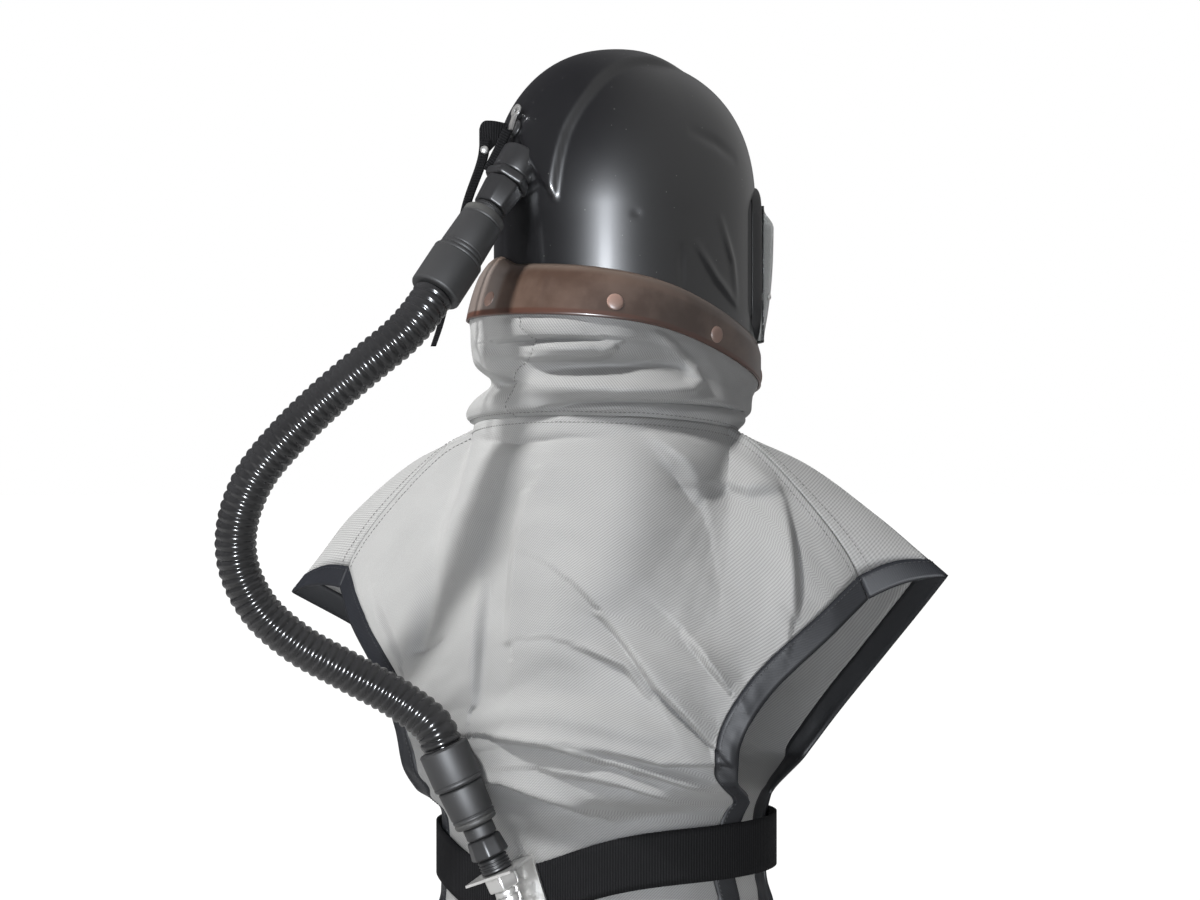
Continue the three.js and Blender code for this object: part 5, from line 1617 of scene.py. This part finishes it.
# %% Cape folds
BACK_FOLDS = [
    # points as (across, down) in panel parts, left positive; height, width in mm, profile
    # shoulders and upper back
    (((0.16, 0.06), (0.30, 0.14), (0.39, 0.22)), 8, 16, roll),
    (((0.07, 0.14), (0.11, 0.25), (0.12, 0.38)), 10, 34, ledge),
    (((0.18, 0.17), (0.22, 0.30)), -7, 15, roll),
    (((-0.18, 0.08), (-0.15, 0.25), (0.01, 0.40), (0.07, 0.46)), 9, 18, roll),
    (((-0.20, 0.03), (-0.29, 0.07), (-0.36, 0.11)), 11, 26, ledge),
    (((-0.22, 0.075), (-0.27, 0.088), (-0.36, 0.125)), -6, 7, crease),
    (((-0.42, 0.083), (-0.55, 0.068), (-0.68, 0.02)), 9, 16, ledge),
    (((-0.86, 0.16), (-0.77, 0.10), (-0.68, 0.035)), 11, 24, ledge),
    (((0.30, 0.022), (0.12, 0.048), (-0.06, 0.04)), -7, 8, crease),
    # left flank
    (((0.29, 0.47), (0.26, 0.36), (0.25, 0.26)), 11, 22, ledge),
    (((0.53, 0.21), (0.66, 0.34)), -8, 12, roll),
    (((0.43, 0.325), (0.52, 0.32), (0.68, 0.30)), -6, 7, crease),
    (((0.80, 0.30), (0.85, 0.22), (0.88, 0.13)), 6, 18, ledge),
    (((0.70, 0.36), (0.75, 0.52)), 7, 20, roll),
    # the long pull towards the right arm
    (((-0.15, 0.33), (-0.36, 0.41), (-0.69, 0.462)), 15, 34, ledge),
    (((-0.14, 0.34), (-0.37, 0.422), (-0.68, 0.475)), -8, 9, crease),
    (((-0.08, 0.39), (-0.24, 0.397), (-0.33, 0.43)), 9, 16, ledge),
    (((-0.45, 0.305), (-0.58, 0.325), (-0.74, 0.34)), 10, 20, ledge),
    # cloth bunched above the belt
    (((0.24, 0.50), (-0.20, 0.51), (-0.45, 0.50)), 8, 14, roll),
    (((0.17, 0.538), (0.06, 0.549), (-0.06, 0.56), (-0.17, 0.569)), 17, 20, ledge),
    (((-0.10, 0.55), (-0.40, 0.545), (-0.72, 0.51)), 11, 22, ledge),
    (((-0.20, 0.567), (-0.50, 0.572), (-0.75, 0.577)), 9, 12, ledge),
    (((-0.02, 0.595), (-0.25, 0.60), (-0.55, 0.612), (-0.76, 0.622)), 14, 14, ledge),
    (((0.30, 0.605), (0.17, 0.61), (0.03, 0.635), (-0.11, 0.657)), 18, 20, ledge),
    (((0.16, 0.62), (0.02, 0.65), (-0.12, 0.668)), -6, 8, crease),
    (((-0.13, 0.63), (-0.58, 0.635)), 7, 9, roll),
    (((0.80, 0.56), (0.25, 0.62)), 6, 13, roll),
    # below the belt
    (((-0.50, 0.86), (-0.55, 1.00)), 8, 22, roll),
    (((0.25, 0.88), (0.30, 1.00)), 8, 24, roll),
]
FRONT_FOLDS = [
    (((-0.25, 0.20), (-0.30, 0.60)), 10, 26, roll),
    (((0.30, 0.20), (0.35, 0.60)), 10, 26, roll),
    (((0.60, 0.24), (0.05, 0.42)), 6, 24, ledge),
    (((-0.55, 0.28), (-0.10, 0.46)), -5, 10, crease),
    (((0.45, 0.56), (-0.40, 0.58)), 8, 16, ledge),
    (((0.30, 0.60), (-0.50, 0.615)), -7, 8, crease),
    (((0.10, 0.86), (0.10, 1.00)), 8, 26, roll),
]
PANEL_WRINKLES = [
    # size, height
    (42, 2.2),
    (15, 0.6),
]
print("cape folds:", len(BACK_FOLDS), "and", len(FRONT_FOLDS))

# %% [markdown]
# The finished surface of a panel: drawn in by the belt, then pushed along its normal by folds and wrinkles.
# They fade out at the shoulder line, at the edges and under the belt, where the cloth is held.

# %% Cape with folds
NORMAL_STEP = 0.01
PANEL_HELD = Sizes(top=0.04, edge=0.1, belt_power=3)


def panel_normal(panel, across, down):
    left, right = np.minimum(1, across + NORMAL_STEP), np.maximum(-1, across - NORMAL_STEP)
    lower, upper = np.minimum(1, down + NORMAL_STEP), np.maximum(0, down - NORMAL_STEP)
    du = panel_base(panel, left, down) - panel_base(panel, right, down)
    dv = panel_base(panel, across, lower) - panel_base(panel, across, upper)
    out = unit(np.cross(du, dv))
    return np.where((out[..., 1] * panel.side < 0)[..., None], -out, out)


def panel_point(panel, across, down):
    across, down = np.broadcast_arrays(np.asarray(across, float), np.asarray(down, float))
    point = panel_base(panel, across, down)
    hold, depth = cinch(point)
    px, py = across * PANEL.fold_scale[0], down * PANEL.fold_scale[1]
    push = fold_height(px, py, panel.folds, PANEL.fold_scale)
    for size, height in PANEL_WRINKLES:
        push = push + wrinkles(px, py, size, height)
    room = smooth((down - panel.crest_share) / PANEL_HELD.top)
    room = room * smooth((1 - np.abs(across)) / PANEL_HELD.edge)
    point[..., 1] = mix(point[..., 1], depth, hold)
    push = push * room * (1 - hold ** PANEL_HELD.belt_power)
    return point + panel_normal(panel, across, down) * push[..., None] + NECK_AXIS


# %% [markdown]
# Each panel's side edges are bound with a dark tape of even width. The cloth ends where the tape begins, so
# the place that lies one tape width in from the edge is searched for on every line.

# %% Binding width
BINDING = Sizes(width=23, wall=3, gap=0.4)
SEARCH = Sizes(nearest=0.3, halvings=14)


def share_left(panel, sign, down, width):
    """The part of the half width at which a given width is left up to the panel's edge."""
    edge = panel_point(panel, np.full_like(down, sign), down)
    near, far = np.full_like(down, SEARCH.nearest), np.ones_like(down)
    for _ in range(SEARCH.halvings):
        middle = (near + far) / 2
        wide = np.linalg.norm(panel_point(panel, sign * middle, down) - edge, axis=-1) > width
        near, far = np.where(wide, middle, near), np.where(wide, far, middle)
    return far


# %% [markdown]
# Now the pieces: for each panel the cloth, its two tapes, and the stitches along the top and on the tapes.
# The cloth starts just below the shoulder line, so that the panels don't touch there.

# %% Cape panels
PANELS = [
    Sizes(
        label="back", side=1, rows=BACK_ROWS, folds=BACK_FOLDS, crest_share=0.0, columns=177, lines=252
    ),
    Sizes(
        label="front", side=-1, rows=FRONT_ROWS, folds=FRONT_FOLDS, crest_share=0.12, columns=121, lines=160
    ),
]
TAPE_COLUMNS = 7
SEAM_GAP = Sizes(width=0.6, panel_length=640)
SEAM_ROW = 3


def panel_pieces(panel):
    v = np.linspace(0, 1, panel.lines)
    right = share_left(panel, -1.0, v, BINDING.width + BINDING.gap)[:, None]
    left = share_left(panel, 1.0, v, BINDING.width + BINDING.gap)[:, None]
    u = np.linspace(-1, 1, panel.columns)[None, :]
    across = np.where(u < 0, right * u, left * u)
    start = SEAM_GAP.width / SEAM_GAP.panel_length
    down = mix(start, 1, np.repeat(v[:, None], panel.columns, axis=1))
    points = panel_point(panel, across, down)
    cloth = grid_object(f"cape_{panel.label}_cloth", points, TWILL, flip=panel.side < 0)
    dress(thicken(cloth, CLOTH), "cloth", f"cape_{panel.label}")
    line = above(points, CLOTH / 2 + STITCH.proud)[SEAM_ROW]
    sewn = [stitches(f"stitches_top_{panel.label}", line, THREAD)]
    for hand, sign in (("left", 1.0), ("right", -1.0)):
        inner = share_left(panel, sign, v, BINDING.width)[:, None]
        across = sign * mix(inner, 1, np.linspace(0, 1, TAPE_COLUMNS)[None, :])
        down = mix(start, 1, np.repeat(v[:, None], TAPE_COLUMNS, axis=1))
        tape = panel_point(panel, across, down)
        inside_out = sign * panel.side < 0
        strip = grid_object(f"tape_{panel.label}_{hand}", tape, BINDING_TAPE, flip=inside_out)
        sewn.append(dress(thicken(strip, BINDING.wall), "binding", f"binding_{panel.label}_{hand}"))
        line = above(tape, BINDING.wall / 2 + STITCH.proud)[:, 1]
        sewn.append(stitches(f"stitches_tape_{panel.label}_{hand}", line, TAPE_THREAD))


for panel in PANELS:
    panel_pieces(panel)

# %% [markdown]
# The belt is a whole loop of webbing round the waist, on the same oval that draws the cape in.

# %% Belt
BELT_GRID = Sizes(around=240, rows=9)
belt_angle = full_turn(BELT_GRID.around)[None, :]
belt_v = np.linspace(0.5, -0.5, BELT_GRID.rows)[:, None]
belt_points = on_oval(belt_angle, BELT, belt_z(belt_angle) + BELT.height * belt_v)
belt = grid_object("belt_webbing", belt_points, WEBBING, closed_across=True)
dress(thicken(belt, BELT.wall), "webbing", "belt")

# %% [markdown]
# The bracket is bent from bright plate: a flange under the outlet and a leg down the belt. It stands on the
# outlet's axis, so its frame is found first: across the belt, outward, and along that axis.

# %% Bracket frame
foot_side = (OUTLET.foot[0] - NECK_AXIS[0]) / BELT.half_width
foot_back = (OUTLET.foot[1] - NECK_AXIS[1]) / BELT.half_depth
foot_angle = np.arctan2(foot_side, -foot_back)
on_belt = on_oval(foot_angle, BELT, 0)
belt_out = unit((foot_side / BELT.half_width, foot_back / BELT.half_depth, 0))
outlet_axis = unit(OUTLET.lean)
bracket_across = unit(np.cross(belt_out, outlet_axis))
bracket_frame = np.stack([bracket_across, np.cross(outlet_axis, bracket_across), outlet_axis])
tilt = np.arcsin(outlet_axis @ belt_out)
print("bracket leans", round(float(np.degrees(tilt)), 1), "degrees off the belt")

# %% [markdown]
# Two boxes in that frame, the leg turned back to hang straight down the belt, are joined into one bent plate
# and given soft edges.

# %% Bracket
BRACKET = Sizes(width=52, plate=2.5, flange_end=20, drop=58, belt_gap=0.4, bevel=0.6, bevel_steps=3)
BOX_FACES = [[0, 2, 3, 1], [4, 5, 7, 6], [0, 1, 5, 4], [2, 6, 7, 3], [0, 4, 6, 2], [1, 3, 7, 5]]
flat_gap = (OUTLET.foot - on_belt) * (1, 1, 0)
to_belt = flat_gap @ belt_out - BELT.wall / 2 - BRACKET.belt_gap
half = BRACKET.width / 2


def box_points(x0, x1, y0, y1, z0, z1):
    return np.array([(x, y, z) for z in (z0, z1) for y in (y0, y1) for x in (x0, x1)], float)


def bracket_box(name, points):
    placed = points @ bracket_frame + OUTLET.foot
    return mesh_object(name, placed, BOX_FACES, BRIGHT_METAL, rounded=False)


leg = box_points(-half, half, -to_belt, -to_belt + BRACKET.plate, -BRACKET.drop, to_belt * np.tan(tilt))
c, s = np.cos(tilt), np.sin(tilt)
leg = leg @ np.array([[1, 0, 0], [0, c, -s], [0, s, c]]).T
flange = box_points(-half, half, -to_belt / np.cos(tilt), BRACKET.flange_end, -BRACKET.plate, 0)
bracket = bracket_box("bent_bracket", leg)
combine(bracket, bracket_box("flange", flange), "UNION")
soften(bracket, BRACKET.bevel, BRACKET.bevel_steps)
dress(bracket, "steel", "belt_bracket")

# %% [markdown]
# The supply fitting under the flange is a hexagon and a nipple, both turned on the outlet's axis. A supply
# line slips over the nipple, whose two grooves hold it.

# %% Supply fitting
NIPPLE = Sizes(hex_radius=16, hex_height=14, radius=11, height=22, bore=7, soft=1.5)
NIPPLE_GROOVES = [
    # above the tip, depth, width
    (7, 1.4, 3),
    (16, 0.8, 2),
]
hex_top = -BRACKET.plate - GAP
hex_foot = hex_top - NIPPLE.hex_height
hex_profile = tube_profile(
    hex_foot, hex_top, NIPPLE.hex_radius, NIPPLE.hex_radius, NIPPLE.bore, NIPPLE.soft
)
supply_hex = spun("supply_hexagon", OUTLET.foot, outlet_axis, hex_profile, BRIGHT_METAL, hexagon)
dress(supply_hex, "steel", "supply_hex")
tip = hex_foot - GAP - NIPPLE.height
grooves = [(tip + along, depth, width) for along, depth, width in NIPPLE_GROOVES]
tip_profile = tube_profile(
    tip, hex_foot - GAP, NIPPLE.radius, NIPPLE.radius, NIPPLE.bore, NIPPLE.soft, grooves
)
supply_tip = spun("supply_tip", OUTLET.foot, outlet_axis, tip_profile, BRIGHT_METAL)
dress(supply_tip, "steel", "supply_nipple")

# %% [markdown]
# The strap beside the inlet hangs from a dark disc that is fixed on the duct.

# %% Strap disc
STRAP_DISC = Sizes(
    radius=9, height=4, x=9, down=0.71, lift=-0.2, middle=0.5, side=0.5, shoulder=0.9, shoulder_radius=0.75
)


def duct_face(u, v):
    return dome_point(np.array(u), np.array(v), DUCT.height)


disc_angle = np.pi - STRAP_DISC.x / SHELL.half_length
disc_out = -outward(duct_face, disc_angle, STRAP_DISC.down)
disc_at = duct_face(disc_angle, STRAP_DISC.down) + disc_out * STRAP_DISC.lift
disc_profile = [
    # along, radius
    (0, STRAP_DISC.middle),
    (0, STRAP_DISC.radius),
    (STRAP_DISC.height * STRAP_DISC.side, STRAP_DISC.radius),
    (STRAP_DISC.height * STRAP_DISC.shoulder, STRAP_DISC.radius * STRAP_DISC.shoulder_radius),
    (STRAP_DISC.height, STRAP_DISC.middle),
]
disc = spun("strap_button", head_turned(disc_at), head_turned(disc_out), disc_profile, BLACK_PLASTIC)
dress(disc, "black_plastic", "strap_disc")

# %% [markdown]
# The hook on the disc is stamped from nickel plate: a ring with a hole and an arm, joined into one piece.

# %% Strap hook
CLIP = Sizes(ring=6.6, hole=2.6, wall=2.4, ring_at=16.5, arm_width=5.5, arm_foot=-3, overlap=1.5, bevel=0.5)
uphill = unit(np.array((0, 0, 1)) - disc_out * disc_out[2])
sideways = np.cross(uphill, disc_out)
clip_foot = disc_at + disc_out * (STRAP_DISC.height + GAP)
ring_profile = [(0, CLIP.hole), (0, CLIP.ring), (CLIP.wall, CLIP.ring), (CLIP.wall, CLIP.hole)]
ring_middle = clip_foot + uphill * CLIP.ring_at
clip = spun("strap_hook", head_turned(ring_middle), head_turned(disc_out), ring_profile, BRIGHT_METAL)
arm_end = CLIP.ring_at - CLIP.hole - CLIP.overlap
arm = box_points(-CLIP.arm_width / 2, CLIP.arm_width / 2, CLIP.arm_foot, arm_end, 0, CLIP.wall)
arm_frame = np.stack([sideways, uphill, disc_out])
arm_points = head_turned(arm @ arm_frame + clip_foot)
arm_piece = mesh_object("hook_arm", arm_points, BOX_FACES, BRIGHT_METAL, rounded=False)
combine(bake(clip), arm_piece, "UNION")
soften(clip, CLIP.bevel)
dress(clip, "steel", "strap_clip")

# %% [markdown]
# The flap is webbing that hangs from the hook, wider towards its free end, where its upper corner is rounded.
# A second layer lies on it, folded down. Both follow smooth lines through a few points.

# %% Strap flap
STRAP_WALL = 2.4
LINE_STEPS = 16
TAB = Sizes(route=[(11.2, 132.2, 48), (16, 145, 50), (23, 156, 50)], width=(9, 40), samples=25, rows=19)
TAB_CORNER = Sizes(part=0.25, drop=9, roundness=0.98)
TAB_LAYER = Sizes(route=[(10.5, 133, 42), (12, 141, 25), (15, 153, 2)], lift=3.2, width=9, samples=25, rows=5)


def even_line(points, count):
    line = catmull_rom(points, LINE_STEPS)
    along = lengths_along(line, 0)
    at = np.linspace(0, along[-1], count)
    return np.stack([np.interp(at, along, line[:, k]) for k in range(3)], axis=1)


tab_line = even_line(TAB.route, TAB.samples)
tab_part = np.linspace(0, 1, TAB.samples)
tab_drop = mix(*TAB.width, tab_part)
corner = np.clip((tab_part - 1 + TAB_CORNER.part) / TAB_CORNER.part, 0, 1)
tab_top = TAB_CORNER.drop * (1 - np.sqrt(1 - TAB_CORNER.roundness * corner ** 2))
tab_rows = [
    tab_line - np.outer(mix(tab_top, tab_drop, t), (0, 0, 1)) for t in np.linspace(0, 1, TAB.rows)
]
tab = thicken(grid_object("strap_flap", head_turned(np.array(tab_rows)), WEBBING), STRAP_WALL)
strap_along = unit((np.array(TAB.route[-1]) - TAB.route[0]) * (1, 1, 0))
strap_facing = np.array((-strap_along[1], strap_along[0], 0))
layer_line = even_line(TAB_LAYER.route, TAB_LAYER.samples) + strap_facing * TAB_LAYER.lift
layer_run = unit(layer_line[-1] - layer_line[0])
layer_side = np.cross(strap_facing, layer_run) * TAB_LAYER.width
layer_rows = [layer_line + layer_side * t for t in np.linspace(-0.5, 0.5, TAB_LAYER.rows)]
layer = thicken(grid_object("flap_layer", head_turned(np.array(layer_rows)), WEBBING), STRAP_WALL)
dress(join(tab, layer), "webbing", "strap_tab")

# %% [markdown]
# The strap's thin tail hangs down behind the couplings, narrower towards its end, and a rivet holds it to the
# flap.

# %% Strap tail and rivet
TAIL = Sizes(
    route=[
        (17, 153.4, 32), (18.4, 155.6, 14), (28, 167, -29), (33, 177, -83), (34, 193, -142), (34, 201, -162),
    ],
    width=(10, 5), samples=61, rows=5,
)
RIVET = Sizes(sample=3, radius=4, height=2)
tail_line = even_line(TAIL.route, TAIL.samples)
tail_width = mix(*TAIL.width, np.linspace(0, 1, TAIL.samples))
tail_rows = [
    tail_line + np.outer(tail_width * t, strap_along) for t in np.linspace(-0.5, 0.5, TAIL.rows)
]
tail = grid_object("strap_end", head_turned(np.array(tail_rows)), WEBBING)
dress(thicken(tail, STRAP_WALL), "webbing", "strap_tail")

rivet_at = head_turned([tail_line[RIVET.sample] + strap_facing * (STRAP_WALL / 2 + 2 * GAP)])
rivet_out = head_turned([strap_facing])
rivet = heads("strap_stud", rivet_at, rivet_out, RIVET.radius, RIVET.height, BRIGHT_METAL)
dress(rivet, "steel", "strap_rivet")
